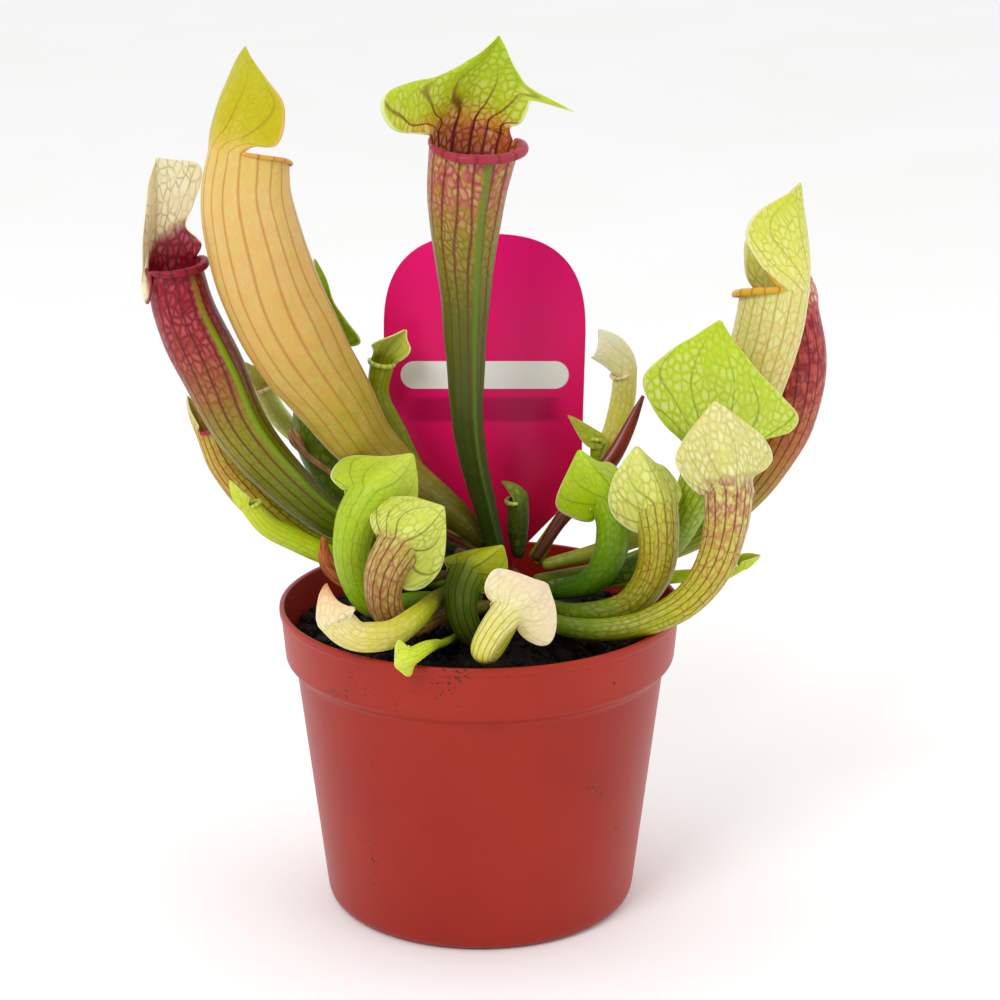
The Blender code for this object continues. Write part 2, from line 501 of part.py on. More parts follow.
def make_label(name, grow_by, collection, colour=None):
    """A flat outline with half the card's thickness each way, stood up and leant back."""
    right = label_outline(grow_by)
    left = [(-x, z) for x, z in reversed(right) if x > grow_by + 0.001]
    curve = bpy.data.curves.new(name, "CURVE")
    curve.dimensions = "2D"
    curve.fill_mode = "BOTH"
    curve.extrude = (CARD_THICKNESS / 2 + grow_by) * MM
    spline = curve.splines.new("POLY")
    spline.points.add(len(right) + len(left) - 1)
    for point, (x, z) in zip(spline.points, right + left):
        point.co = (x * MM, (z - LABEL_PLACE[2] - 2 * grow_by) * MM, 0, 1)
    spline.use_cyclic_u = True
    flat = bpy.data.objects.new(name, curve)
    collection.objects.link(flat)
    mesh = bpy.data.meshes.new_from_object(flat.evaluated_get(bpy.context.evaluated_depsgraph_get()))
    bpy.data.objects.remove(flat)
    bm = bmesh.new()
    bm.from_mesh(mesh)
    bmesh.ops.remove_doubles(bm, verts=bm.verts, dist=0.00001)
    bm.to_mesh(mesh)
    bm.free()
    obj = new_object(name, mesh, collection, colour, 0.35)
    obj.rotation_euler = (radians(90 - LABEL_LEAN), 0, 0)
    obj.location = [place * MM for place in LABEL_PLACE]
    return obj


clear_scene()
plant = new_collection("potted_pitcher_plant")
cutters = new_collection("cutters")
make_pot(plant, cutters)
make_growing_medium(plant, cutters)
make_ellipsoid("rhizome", 0, plant, (0.1, 0.03, 0.02))
make_label("plant_label", 0, plant, (0.7, 0.01, 0.13))
for pitcher_name, pitcher in PITCHERS.items():
    make_pitcher(pitcher_name, pitcher, plant)
for stem_name, (stem_colour, stem_points) in STEMS.items():
    make_stem(stem_name, stem_colour, stem_points, plant)
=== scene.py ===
# %% [markdown]
# # A potted pitcher plant
# A pitcher plant catches insects in rolled leaves that stand like jugs. Each jug is one leaf: a stalk
# that widens into a tube, a rolled lip round the front of its mouth, and a hood behind it. This lesson
# grows two dozen of them around a crown in a nursery pot, with peat and a plain plant label.
# It starts from the solid model, which fixes every size and place.

# %% The frame
from functools import partial
from math import ceil, cos, pi, radians, sin

import bmesh
import bpy
import numpy as np
from mathutils import Matrix, Vector, noise


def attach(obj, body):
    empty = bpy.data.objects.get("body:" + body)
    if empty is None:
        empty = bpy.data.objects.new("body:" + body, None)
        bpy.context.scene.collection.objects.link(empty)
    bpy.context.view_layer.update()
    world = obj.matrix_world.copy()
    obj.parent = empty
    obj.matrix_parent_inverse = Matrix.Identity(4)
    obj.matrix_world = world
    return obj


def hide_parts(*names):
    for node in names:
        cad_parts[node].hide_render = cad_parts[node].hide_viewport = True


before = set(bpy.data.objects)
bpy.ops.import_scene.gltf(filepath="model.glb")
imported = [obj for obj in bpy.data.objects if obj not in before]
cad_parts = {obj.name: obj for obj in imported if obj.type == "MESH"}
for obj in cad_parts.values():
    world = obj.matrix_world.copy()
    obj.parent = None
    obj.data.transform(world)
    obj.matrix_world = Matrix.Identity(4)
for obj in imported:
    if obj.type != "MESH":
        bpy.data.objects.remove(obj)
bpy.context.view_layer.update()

MM = 0.001

# %% [markdown]
# ## Colours and nodes
# Colours are written as sRGB hex, as a paint chart gives them, and a shader wants them linear. One
# function does that. Another adds any node with its settings and links, which keeps materials short,
# and a third joins what they make to the shader.

# %% Small helpers


def linear(code):
    """A linear colour with alpha from an sRGB hex code such as 'A83226'."""
    parts = [int(code[i:i + 2], 16) / 255 for i in (0, 2, 4)]
    return (*[part / 12.92 if part <= 0.04045 else ((part + 0.055) / 1.055) ** 2.4 for part in parts], 1)


def add_node(tree, kind, *numbered, stops="", shrink=1, **named):
    """A new node's first output. Sockets are given in order or by name, and settings by name.

    A socket's name starts with a capital letter, a setting's doesn't, and _ stands for a space. A colour
    ramp has stops such as '0 3A6A0C, 1 82AA1C 0.5': place, colour, strength. shrink scales the places.
    """
    node = tree.nodes.new("ShaderNode" + kind)
    sockets = dict(enumerate(numbered))
    for name, value in named.items():
        if name[0].isupper():
            sockets[name.replace("_", " ")] = value
        else:
            setattr(node, name, value)
    for socket, value in sockets.items():
        if isinstance(value, bpy.types.NodeSocket):
            tree.links.new(value, node.inputs[socket])
        else:
            node.inputs[socket].default_value = value
    for i, stop in enumerate(stops.split(",") if stops else ()):
        place, code, *strength = stop.split()
        place = float(place) * shrink
        element = node.color_ramp.elements.new(place) if i > 1 else node.color_ramp.elements[i]
        element.position = place
        element.color = (*linear(code)[:3], *map(float, strength or [1]))
    return node.outputs[0]


def new_material(name, roughness, **sockets):
    """A Principled material with sockets that are the same all over, its add_node, and its shader."""
    material = bpy.data.materials.new(name)
    material.use_nodes = True
    shader = material.node_tree.nodes["Principled BSDF"]
    for socket, value in dict(sockets, Roughness=roughness).items():
        shader.inputs[socket.replace("_", " ")].default_value = value
    return material, partial(add_node, material.node_tree), shader


def link(shader, **outputs):
    """Joins nodes' outputs to the shader's sockets."""
    for socket, output in outputs.items():
        shader.id_data.links.new(output, shader.inputs[socket.replace("_", " ")])


print("terracotta in linear:", np.round(linear("B03A2E"), 3))

# %% [markdown]
# ## Light, floor and camera
# Soft light from all round suits waxy leaves, because it shows their colour and leaves only small
# highlights. A white world gives most of it. It is dimmer on the camera's side, as a studio is, so that
# colours seen from the front stay deep. A large lamp at the upper left gives the forms their shade.
# The floor is plain and pale. The camera looks slightly down with a long lens, from half a metre away.

# %% The studio
scene = bpy.context.scene
scene.view_settings.view_transform = "Standard"
world = bpy.data.worlds.new("white_studio")
scene.world = world
world.use_nodes = True
background = world.node_tree.nodes["Background"]
background.inputs["Color"].default_value = (1, 1, 1, 1)
FRONT_GLOW, BACK_GLOW = 0.38, 1.15
towards = add_node(world.node_tree, "TexCoord").node.outputs["Generated"]
to_back = add_node(world.node_tree, "SeparateXYZ", towards).node.outputs[1]
glow = add_node(world.node_tree, "MapRange", to_back, -0.9, 0.3, FRONT_GLOW, BACK_GLOW)
link(background, Strength=glow)

FLOOR_SIZE = 6
bm = bmesh.new()
bmesh.ops.create_grid(bm, x_segments=1, y_segments=1, size=FLOOR_SIZE / 2)
floor_mesh = bpy.data.meshes.new("floor")
bm.to_mesh(floor_mesh)
bm.free()
floor = bpy.data.objects.new("floor", floor_mesh)
scene.collection.objects.link(floor)

paper, add, shader = new_material("matt_paper_sweep", 0.9)
grain = add("TexNoise", Scale=40, Detail=3)
link(shader, Base_Color=add("ValToRGB", grain, stops="0.3 FCFCFB, 0.7 FFFFFF"))
floor_mesh.materials.append(paper)

LAMPS = (("key", (-0.4, -0.7, 0.8), 0.4, 4.5), ("fill", (0.8, -0.5, 0.5), 0.6, 1.5))
PLANT_MIDDLE = Vector((0, 0, 0.1))
for name, place, size, power in LAMPS:
    lamp = bpy.data.objects.new(name, bpy.data.lights.new(name, "AREA"))
    lamp.data.size = size
    lamp.data.energy = power
    lamp.location = place
    lamp.rotation_euler = (PLANT_MIDDLE - lamp.location).to_track_quat("-Z", "Y").to_euler()
    scene.collection.objects.link(lamp)

LOOKS_DOWN = 16.8
camera = bpy.data.objects.new("camera", bpy.data.cameras.new("camera"))
camera.data.lens = 95.6
camera.data.sensor_width = 36
camera.location = (0.0045, -0.565, 0.264)
camera.rotation_euler = (radians(90 - LOOKS_DOWN), 0, 0)
scene.collection.objects.link(camera)
scene.camera = camera
print("camera", round((camera.location - PLANT_MIDDLE).length, 3), "m from the plant")

# %% [markdown]
# ## How a leaf grows
# A pitcher could be carved from a cylinder, but it is easier to grow it, as the plant does. A small ring
# starts at the crown and is drawn out row by row along a curve, wider or narrower as it goes. At the
# mouth, the front half of the ring rolls outwards into the lip, and the back half goes on into the hood.
# Each row is one `extrude_edge_only`, whose new points are then put where the leaf's shape wants them.
#
# Each point also remembers where it is on the leaf. `leaf_map` holds the share of the way round and the
# way along, so that veins run lengthwise and fan out in the hood. `leaf_mm` holds real millimetres, so
# that the net between the veins has cells of one size.

# %% Curves and rows
MOUTH_BACK = pi / 2           # the hood starts from the back half of the mouth, a quarter turn each way
TIP_HALF_WIDTH = 0.3
ROW_CROWDING = 1.4
ROW_STEP = 1.7
HOOD_ROW_STEP = 1.1
MOUTH_SLOPE_FROM = 0.7        # share of the tube where its rings begin to take the mouth's slope
HOOD_SLOPE_TO = 0.35          # share of the hood where its rows have lost it
MIDRIB = 0.5
MIDRIB_WIDTH = 1.1
WISP_FROM = 0.7               # share of the half width where a thin point begins
LIP_FROM = 0.88               # share of the half width past which the lip's colour climbs the hood
LIP_FADE = 0.08
FLARE_WIDTH = 0.16
ROLL_ANGLES = (45, 95, 145, 195, 240)


def read_rows(text):
    """Rows of numbers from a text such as '1 2 3, 4 5 6'."""
    return [tuple(map(float, row.split())) for row in text.split(",")]


def unit(vectors):
    return vectors / np.linalg.norm(vectors, axis=-1, keepdims=True)


def smoothstep(x):
    x = np.clip(x, 0, 1)
    return x * x * (3 - 2 * x)


def through(places, values, where):
    """A smooth curve through values at places, read at where."""
    slopes = np.gradient(values, places, axis=0)
    i = np.clip(np.searchsorted(places, where, side="right") - 1, 0, len(places) - 2)
    span = (places[i + 1] - places[i])[:, None]
    t = (where - places[i])[:, None] / span
    return ((2 * t**3 - 3 * t**2 + 1) * values[i] + (t**3 - 2 * t**2 + t) * span * slopes[i]
            + (3 * t**2 - 2 * t**3) * values[i + 1] + (t**3 - t**2) * span * slopes[i + 1])


def along(points, step=ROW_STEP):
    """Evenly spaced rows of (x, y, z, radius) on a smooth curve through the points, and their distances."""
    points = np.array(points, float)
    lengths = np.r_[0, np.cumsum(np.linalg.norm(np.diff(points[:, :3], axis=0), axis=1))]
    where = np.linspace(0, lengths[-1], max(8, ceil(lengths[-1] / step)))
    return through(lengths, points, where), where


def tube_rows(path, sides, faces, drop, tilt, keel):
    """The tube's rings from its base to its mouth, each point with its map values, and the mouth."""
    path, far = along(path)
    centres, radii = path[:, :3], path[:, 3]
    tangents = unit(np.gradient(centres, axis=0))
    front = np.array([cos(radians(faces)), sin(radians(faces)), 0])
    turns = 2 * pi * np.arange(sides) / sides
    round_share = np.where(turns <= pi + 0.001, turns, turns - 2 * pi) / (2 * pi)
    rows = []
    for i in reversed(range(len(far))):
        front = unit(front - front.dot(tangents[i]) * tangents[i])
        side = np.cross(tangents[i], front)
        share = i / (len(far) - 1)
        seam = keel * sin(pi * share) ** 0.7 * np.clip(-np.cos(turns), 0, 1) ** 40
        lowered = drop * (1 - np.cos(turns)) / 2 + tilt * np.sin(turns) / 2
        lowered = lowered * smoothstep((share - MOUTH_SLOPE_FROM) / (1 - MOUTH_SLOPE_FROM))
        reach = (radii[i] + seam)[:, None]
        ring = centres[i] + reach * (np.sin(turns)[:, None] * side - np.cos(turns)[:, None] * front)
        ring = ring - lowered[:, None] * tangents[i]
        values = np.c_[round_share, np.full(sides, share), round_share * 2 * pi * radii[i],
                       np.full(sides, far[i]), np.zeros((sides, 2))]
        rows.insert(0, np.c_[ring, values])
        if i == len(far) - 1:
            mouth = (centres[i], radii[i], tangents[i], front, side, far[i], drop, tilt)
    return rows, mouth


def hood(length, lean, fold, left, right="", sway=(0, 0), rows=0, wisp=(1, 0, 1, 0, 0)):
    """A hood's measures, in millimetres and degrees.

    lean, fold and sway are given at its foot and its tip. left and right list half widths and how far
    the margin hangs there. A wisp is a thin point: its side, place, width, length and hang.
    """
    folds = fold if isinstance(fold[0], tuple) else (fold, fold)
    return (length, lean, folds, (read_rows(left), read_rows(right or left)), sway,
            rows or ceil(length / HOOD_ROW_STEP) + 5, wisp)


def hood_rows(hood, mouth, columns):
    """The hood's rows from the back of the mouth to its tip, each from the left margin to the right one."""
    centre, radius, axis, front, side, far, mouth_drop, tilt = mouth
    length, leans, fold_pairs, halves, sways, count, wisp = hood
    wisp_side, wisp_place, wisp_width, wisp_length, wisp_hang = wisp
    u = np.linspace(-1, 1, columns)
    ribs = np.linspace(0, 1, count + 1) ** ROW_CROWDING
    outline = []
    for half in halves:
        places = np.linspace(0, 1, len(half) + 2) ** ROW_CROWDING
        stations = np.array([(radius * MOUTH_BACK, 0), *half, (0, 0)], float)
        outline.append(through(places, stations, ribs))
    midrib = centre - radius * front
    rows = []
    for i, t in enumerate(ribs[1:], 1):
        middle_rib = (ribs[i - 1] + t) / 2
        lean = radians(np.interp(middle_rib, (0, 1), leans))
        sway = radians(np.interp(middle_rib, (0, 1), sways))
        up = cos(lean) * (cos(sway) * axis + sin(sway) * side) + sin(lean) * front
        ahead = unit(cos(lean) * front - sin(lean) * axis)
        midrib = midrib + length * (t - ribs[i - 1]) * up
        (left, left_hang), (right, right_hang) = outline[0][i], outline[1][i]
        bend = radius * (1 - 0.5 * t)
        wide = np.maximum(np.where(u < 0, left, right), 0) + TIP_HALF_WIDTH
        point = np.clip((wisp_side * u - WISP_FROM) / (1 - WISP_FROM), 0, 1)
        point = np.exp(-((t - wisp_place) / wisp_width) ** 2) * point
        reach = np.abs(u) * wide + wisp_length * point
        folds = [np.interp(t, (0, 0.2, 1), (MOUTH_BACK, radians(pair[0]), radians(pair[1])))
                 for pair in fold_pairs]
        fold = np.where(u < 0, *folds)
        turned = np.minimum(reach / bend, fold)
        straight = np.maximum(reach - bend * fold, 0)
        across = np.sign(u) * (bend * np.sin(turned) + straight * np.cos(fold))
        ridge = MIDRIB * smoothstep(t / 0.2) * np.exp(-(reach / MIDRIB_WIDTH) ** 2)
        forward = bend * (1 - np.cos(turned)) + straight * np.sin(fold) - ridge
        drop = np.where(u < 0, left_hang, right_hang) * u**2 + wisp_hang * point
        at_mouth = mouth_drop * (1 - np.cos(u * pi / 2)) / 2 + tilt * np.sin(u * pi / 2) / 2
        drop = drop + at_mouth * (1 - smoothstep(t / HOOD_SLOPE_TO))
        row = midrib + across[:, None] * side + forward[:, None] * ahead - drop[:, None] * up
        on_margin = np.clip((np.abs(u) - LIP_FROM) / LIP_FADE, 0, 1)
        values = np.c_[u / 4, np.full(columns, 1 + t), u * wide, np.full(columns, far + length * t),
                       on_margin * (1 - smoothstep((t - 0.05) / 0.2)), np.abs(u) * smoothstep(t / 0.15)]
        rows.append(np.c_[row, values])
    return rows


def lip_rows(ring, mouth, roll, flare):
    """The rolled lip: the front half of the mouth's ring turned outwards and down in a small circle.

    flare = (place from the right end to the left one, how many times wider it is there).
    """
    centre, _, axis, *_ = mouth
    outwards = unit(ring[:, :3] - centre - ((ring[:, :3] - centre) @ axis)[:, None] * axis)
    place = np.linspace(0, 1, len(ring))
    wider = 1 + flare[1] * np.exp(-((place - flare[0]) / FLARE_WIDTH) ** 2)
    size = roll * ((0.12 + 0.88 * np.sin(pi * place) ** 0.6) * wider)[:, None]
    rows = []
    for angle in map(radians, ROLL_ANGLES):
        row = ring.copy()
        row[:, :3] += size * ((1 - cos(angle)) * outwards + sin(angle) * axis)
        row[:, 6] += roll * angle
        row[:, 7] = 1
        rows.append(row)
    return rows


print("a 60 mm stalk takes", len(along([(0, 0, 0, 1), (0, 0, 60, 4)])[1]), "rows")

# %% [markdown]
# ## Unevenness
# No leaf is a perfect curve. A smooth noise field moves every point a little, more towards the mouth and
# the hood, so neighbouring points still move together and the skin stays whole.

# %% Growing one leaf
WANDER = 9                    # millimetres from one hump of the noise to the next
TUBE_WANDER = 0.3
HOOD_WANDER = 0.5
FIELDS = ("lip", "margin")


def uneven(points, amount):
    """Moves points in millimetres by a smooth noise field."""
    return [Vector(point) + float(amount) * noise.noise_vector(Vector(point) / WANDER) for point in points]


def grow(bm, chain, points, closed):
    """Extrudes a chain of vertices onto the next row of points."""
    ends = list(zip(chain, chain[1:] + chain[:1] if closed else chain[1:]))
    made = bmesh.ops.extrude_edge_only(bm, edges=[bm.edges.get(pair) for pair in ends])["geom"]
    new = {item for item in made if isinstance(item, bmesh.types.BMVert)}
    following = []
    for vert, point in zip(chain, points):
        partner = next(edge.other_vert(vert) for edge in vert.link_edges if edge.other_vert(vert) in new)
        partner.co = point * MM
        following.append(partner)
    return following


def new_leaf_mesh():
    """An empty mesh with the leaf's maps and point fields.

    The layers are made first, because a new layer drops the points that are already there.
    """
    bm = bmesh.new()
    maps = [bm.loops.layers.uv.new(name) for name in ("leaf_map", "leaf_mm")]
    return bm, maps, [bm.verts.layers.float.new(name) for name in FIELDS]


def write_maps(bm, maps, fields, values):
    """Writes each point's values to the two maps of its corners and to the point fields."""
    share_map, length_map = maps
    for vert, row in values.items():
        for field, value in zip(fields, row[4:]):
            vert[field] = value
    for face in bm.faces:
        rows = [values[loop.vert] for loop in face.loops]
        behind = min(row[0] for row in rows) < -0.25
        for loop, row in zip(face.loops, rows):
            turn = -1 if behind and row[0] > 0.499 else 1
            loop[share_map].uv = (turn * row[0], row[1])
            loop[length_map].uv = (turn * row[2], row[3])


def finish_mesh(bm, name):
    """The piece's object, at the origin, shaded smooth."""
    mesh = bpy.data.meshes.new(name)
    bm.to_mesh(mesh)
    bm.free()
    mesh.shade_smooth()
    obj = bpy.data.objects.new(name, mesh)
    scene.collection.objects.link(obj)
    return obj


def stand_for(piece, node):
    """The piece rides on the object's one body and takes the place of the node, whose solid model is hidden.
    """
    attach(piece, "root")
    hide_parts(node)


def grow_leaf(name, path, look, hood, faces, drop, keel, tilt=0, wall=0.4, roll=0.1, flare=(0, 0)):
    """One pitcher, from the ring at the crown to the tip of its hood."""
    path = read_rows(path)
    radius = path[-1][3]
    sides = 48 if radius > 5.3 else 32 if radius > 3 else 24
    rows, mouth = tube_rows(path, sides, faces, drop, tilt, keel)
    bm, maps, fields = new_leaf_mesh()
    chain = bmesh.ops.create_circle(bm, cap_ends=True, segments=sides, radius=MM)["verts"]
    for vert, point in zip(chain, uneven(rows[0][:, :3], 0)):
        vert.co = point * MM
    values = dict(zip(chain, rows[0][:, 3:]))

    def grow_row(chain, row, amount, closed=False):
        chain = grow(bm, chain, uneven(row[:, :3], amount), closed)
        values.update(zip(chain, row[:, 3:]))
        return chain

    for i, row in enumerate(rows[1:], 1):
        chain = grow_row(chain, row, TUBE_WANDER * i / len(rows), closed=True)
    quarter = sides // 4
    lip, back = chain[quarter:sides - quarter + 1], chain[-quarter:] + chain[:quarter + 1]
    for row in lip_rows(rows[-1][quarter:sides - quarter + 1], mouth, roll * radius, flare):
        lip = grow_row(lip, row, TUBE_WANDER)
    for row in hood_rows(hood, mouth, len(back)):
        back = grow_row(back, row, TUBE_WANDER + HOOD_WANDER * smoothstep(row[0, 4] - 1))
    bmesh.ops.recalc_face_normals(bm, faces=bm.faces)
    bm.faces.ensure_lookup_table()
    if bm.faces[0].normal.dot(Vector(rows[1][:, :3].mean(0) - rows[0][:, :3].mean(0))) > 0:
        bmesh.ops.reverse_faces(bm, faces=bm.faces)
    write_maps(bm, maps, fields, values)
    piece = finish_mesh(bm, name + "_pitcher")
    shell = piece.modifiers.new("wall", "SOLIDIFY")
    shell.thickness = wall * MM
    shell.offset = -1
    shell.material_offset = 1
    for side, skin in ("_outside", look), ("_inside", {**look, **look.get("inner", {})}):
        piece.data.materials.append(leaf_skin(piece.name + side, skin))
    smooth = piece.modifiers.new("smooth", "SUBSURF")
    smooth.levels = smooth.render_levels = 1
    stand_for(piece, "pitcher_" + name)
    return piece


def grow_all(leaves):
    for name, leaf in leaves.items():
        piece = grow_leaf(name, **leaf)
        print(piece.name, len(piece.data.polygons), "faces before its wall")


# %% [markdown]
# ## What a pitcher's skin looks like
# A pitcher plant's leaf is thin, waxy living tissue. Its colour changes along its length, dark green at
# the crown and yellow, lime, cream or red towards the mouth. Sugar and pigment follow the veins: strong
# lengthwise veins, and a net of fine ones between them, with pale windows in its cells near the top.
#
# An image could be painted for each leaf. Here one material is built for all, in layers over the skin
# colour, and each layer is a colour ramp along the leaf whose strength says where it shows. The wax
# gives the eye soft, broad highlights, and the flesh under it lets a little light through.

# %% The leaf's material
HOOD_VEINS_THINNER = 2.5
VEIN_CORE = 0.15              # share of a vein's width that is fully coloured
SEAM = (0.475, 0.492)         # share of the way round, where the front seam begins and is full
MARGIN = (0.945, 0.99)        # share of the hood's half width
HOOD_BEGINS = (0.99, 1.05)
BLOTCHES = (0.36, 0.58)
NET_LINES = (0.13, 0)         # shares of a cell, from its edge
WINDOWS = (0.04, 0.35)


def lay_over(add, base, mask, along_leaf, stops):
    """Lays a ramp's colour over the base colour where the mask is, as strongly as each stop says."""
    colour = add("ValToRGB", along_leaf, stops=stops, shrink=0.5)
    amount = add("Math", mask, colour.node.outputs["Alpha"], operation="MULTIPLY")
    return add("MixRGB", amount, base, colour)


def between(add, value, low, high):
    """0 below low and 1 above high, or the other way round where low is the larger."""
    ends = (low, high, 0, 1) if low <= high else (high, low, 1, 0)
    return add("MapRange", value, *ends, interpolation_type="SMOOTHSTEP")


def leaf_skin(name, look):
    """Waxy living leaf: skin colour, flush, windows, net, veins, seam, margin and lip, in that order."""
    material, add, shader = new_material(name, 0.4, IOR=1.45, Specular_IOR_Level=0.3, Coat_Weight=0.04,
                                          Coat_Roughness=0.3, Subsurface_Weight=0.1, Subsurface_Scale=0.001)
    share = add("SeparateXYZ", add("UVMap", uv_map="leaf_map"))
    length = share.node.outputs[1]
    slant = add("Math", between(add, length, *HOOD_BEGINS), look.get("slant", 0), operation="MULTIPLY")
    slanted = add("Math", share, slant, length, operation="MULTIPLY_ADD")
    along_leaf = add("Math", slanted, 0.5, operation="MULTIPLY")
    mm = add("UVMap", uv_map="leaf_mm")
    drift = add("TexNoise", Vector=mm, Scale=0.22, Detail=2, noise_dimensions="2D")
    slow = add("Mapping", Vector=mm, Scale=(0.12, 0.035, 1))
    sway = add("TexNoise", Vector=slow, Scale=1, Detail=0, noise_dimensions="2D")
    sway = add("Math", sway, 0.6, operation="MULTIPLY")
    mottle = add("TexNoise", Vector=mm, Scale=0.45, Detail=4, noise_dimensions="2D")

    on_hood = add("Math", length, 1, operation="SUBTRACT", use_clamp=True)
    fan = add("Math", on_hood, look.get("fan", 1.2), 1, operation="MULTIPLY_ADD")
    turned = add("Math", share, fan, operation="DIVIDE")
    veins = add("Math", turned, look["veins_round"], sway, operation="MULTIPLY_ADD")
    off_vein = add("Math", veins, 0.5, operation="PINGPONG")
    thinner = add("Math", on_hood, HOOD_VEINS_THINNER, 1, operation="MULTIPLY_ADD")
    off_vein = add("Math", off_vein, thinner, operation="MULTIPLY")
    vein = between(add, off_vein, look["vein_width"], look["vein_width"] * VEIN_CORE)

    cell = look["cell"]
    drifted = add("VectorMath", drift.node.outputs["Color"], (1.2, 1.2, 0), mm, operation="MULTIPLY_ADD")
    stretched = add("Mapping", Vector=drifted, Scale=(1 / cell, 1 / (cell * look["stretch"]), 1))
    off_net = add("TexVoronoi", Vector=stretched, Scale=1, voronoi_dimensions="2D",
                  feature="DISTANCE_TO_EDGE")
    blotch = between(add, mottle, *BLOTCHES)
    patchy = add("MapRange", drift, 0.35, 0.6, 0.25, 1)
    net = add("Math", between(add, off_net, *NET_LINES), patchy, operation="MULTIPLY")
    window = add("Math", between(add, off_net, *WINDOWS), patchy, operation="MULTIPLY")

    colour = add("ValToRGB", along_leaf, stops=look["skin"], shrink=0.5)
    shade = add("MixRGB", 0.25, colour, mottle.node.outputs["Color"], blend_type="SOFT_LIGHT")
    colour = add("HueSaturation", Color=shade, Saturation=1.05)
    for mask, layer in ((blotch, "flush"), (window, "windows"), (net, "net"), (vein, "veins")):
        if layer in look:
            colour = lay_over(add, colour, mask, along_leaf, look[layer])
    if "seam" in look:
        off_back = add("Math", share, operation="ABSOLUTE")
        colour = lay_over(add, colour, between(add, off_back, *SEAM), along_leaf, look["seam"])
    margin = add("Attribute", attribute_name="margin").node.outputs["Fac"]
    edge = between(add, margin, *MARGIN)
    colour = add("MixRGB", edge, colour, linear(look["margin"]))
    lip = add("Attribute", attribute_name="lip").node.outputs["Fac"]
    lip_colour = add("MixRGB", vein, linear(look["lip"]), linear(look["lip_veins"]))
    colour = add("MixRGB", between(add, lip, 0.3, 0.9), colour, lip_colour)
    ribs = add("Math", vein, 0.6, net, operation="MULTIPLY_ADD")
    relief = add("Math", ribs, 0.4, mottle, operation="MULTIPLY_ADD")
    link(shader, Base_Color=colour, Roughness=add("MapRange", mottle, 0, 1, 0.32, 0.5),
         Normal=add("Bump", Height=relief, Strength=0.5, Distance=0.15 * MM))
    return material


LIME = dict(
    skin="0 3A6A0C, 0.5 82AA1C, 0.85 A8C038, 1.2 B8CC40, 2 C4D654",
    veins="0 4A6A10 0.2, 0.8 5A7A10 0.35, 1.3 5A7818 0.45, 2 6A8020 0.2",
    net="0 6A8A18 0.1, 1 6A8A20 0.25, 2 7A9428 0.25",
    windows="0 B8CC60 0.05, 1 BCCC50 0.3, 2 CCDC70 0.4",
    veins_round=14, vein_width=0.14, cell=1.4, stretch=1.6, fan=1.2, margin="DCE49C", lip="C8D060",
    lip_veins="8A9A30")
print("lime leaf layers:", ", ".join(key for key, value in LIME.items() if " " in str(value)))

# %% [markdown]
# ## The tall pitcher in the middle
# It faces the front, so the lit inside of its hood shows: lime green, with pale windows and dark red
# veins that climb out of the throat. Its lip is a rolled crimson band. The tube is flushed crimson near
# the top and olive below.
#
# Each pitcher is a row in a table. Its path is in millimetres, with the tube's radius as the fourth
# number. A layer of its look is a row of stops: place along the leaf, colour, and strength. The mouth
# is at 1 and the hood's tip at 2. A look starts from another one and names only what differs.

# %% Tall pitcher
RED_VEINED = dict(LIME,
    skin="0 2F4A12, 0.35 4F6A10, 0.7 98941E, 1 B89038, 1.2 B8C428, 2 9CB820",
    veins="0 3A2A08 0.3, 0.5 5A2010 0.75, 0.95 6A1018 0.85, 1.3 6A6A18 0.6, 2 6A7A20 0.3",
    net="0 4A4A10 0.2, 0.7 6A3014 0.6, 1.1 7A5A20 0.35, 2 6A8A20 0.3",
    flush="0.74 B03050 0, 0.93 A82C4C 0.85, 1.02 A82C4C 0.6, 1.12 B03050 0",
    lip="A42C40", lip_veins="8A1C30", veins_round=16, vein_width=0.16)
centre_look = dict(RED_VEINED,
    skin="0 24380E, 0.35 34480C, 0.6 54600E, 0.8 86781C, 1 B08434, 1.2 B8C428, 2 9CB820",
    flush="0.8 B03050 0, 0.95 A82C4C 0.9, 1.02 A82C4C 0.6, 1.12 B03050 0",
    windows="0.6 D8B080 0, 0.9 E0A098 0.4, 1.2 ECE8B0 0.6, 2 E8ECB0 0.6",
    seam="0 3F5C14 0.8, 0.6 5A7418 0.9, 1 6A7A20 0.9",
    inner=dict(
        skin="0.9 5A1010, 1 C87828, 1.1 DCA030, 1.3 B8C428, 2 A0BC1C",
        veins="0.9 6A1010 1, 1.12 6A1010 1, 1.4 7A3A14 0.7, 1.7 6A7A18 0.2",
        net="0.9 6A1010 0.8, 1.15 7A3A10 0.6, 1.4 8AA018 0.5, 2 7A9A18 0.3",
        windows="0.9 E8B8A0 0.3, 1.1 F0D0B0 0.7, 1.3 E0E088 0.5, 1.7 D8E080 0.4, 2 D0DC60 0.2",
        flush="0.9 B03040 0.8, 1.1 B03040 0.2, 1.2 B03040 0",
        vein_width=0.17, fan=1.5, cell=1.7, stretch=1.1))
TALL_PITCHER = dict(
    centre_tall=dict(
        path="4 3.6 80 1.9, 1 2 92 2.6, -2 0 106 3.3, -3 -2 128 4.4, -3 -3 140 5.4, -3 -3 156 7.6,"
             "-2.2 -3 166 8.8, -0.8 -3 175 9.5",
        faces=-66, drop=3, tilt=-2.8, keel=1.2, wall=0.5, roll=0.085, flare=(0.05, 1), look=centre_look,
        hood=hood(22, (4, 20), ((40, 5), (55, 20)), "12 1, 25.5 3.5, 29 1, 8.5 4.8",
                  "12 0, 13.5 1, 12.5 0, 6 0", sway=(8, 16), rows=52, wisp=(1, 0.53, 0.03, 13, 1))))
grow_all(TALL_PITCHER)

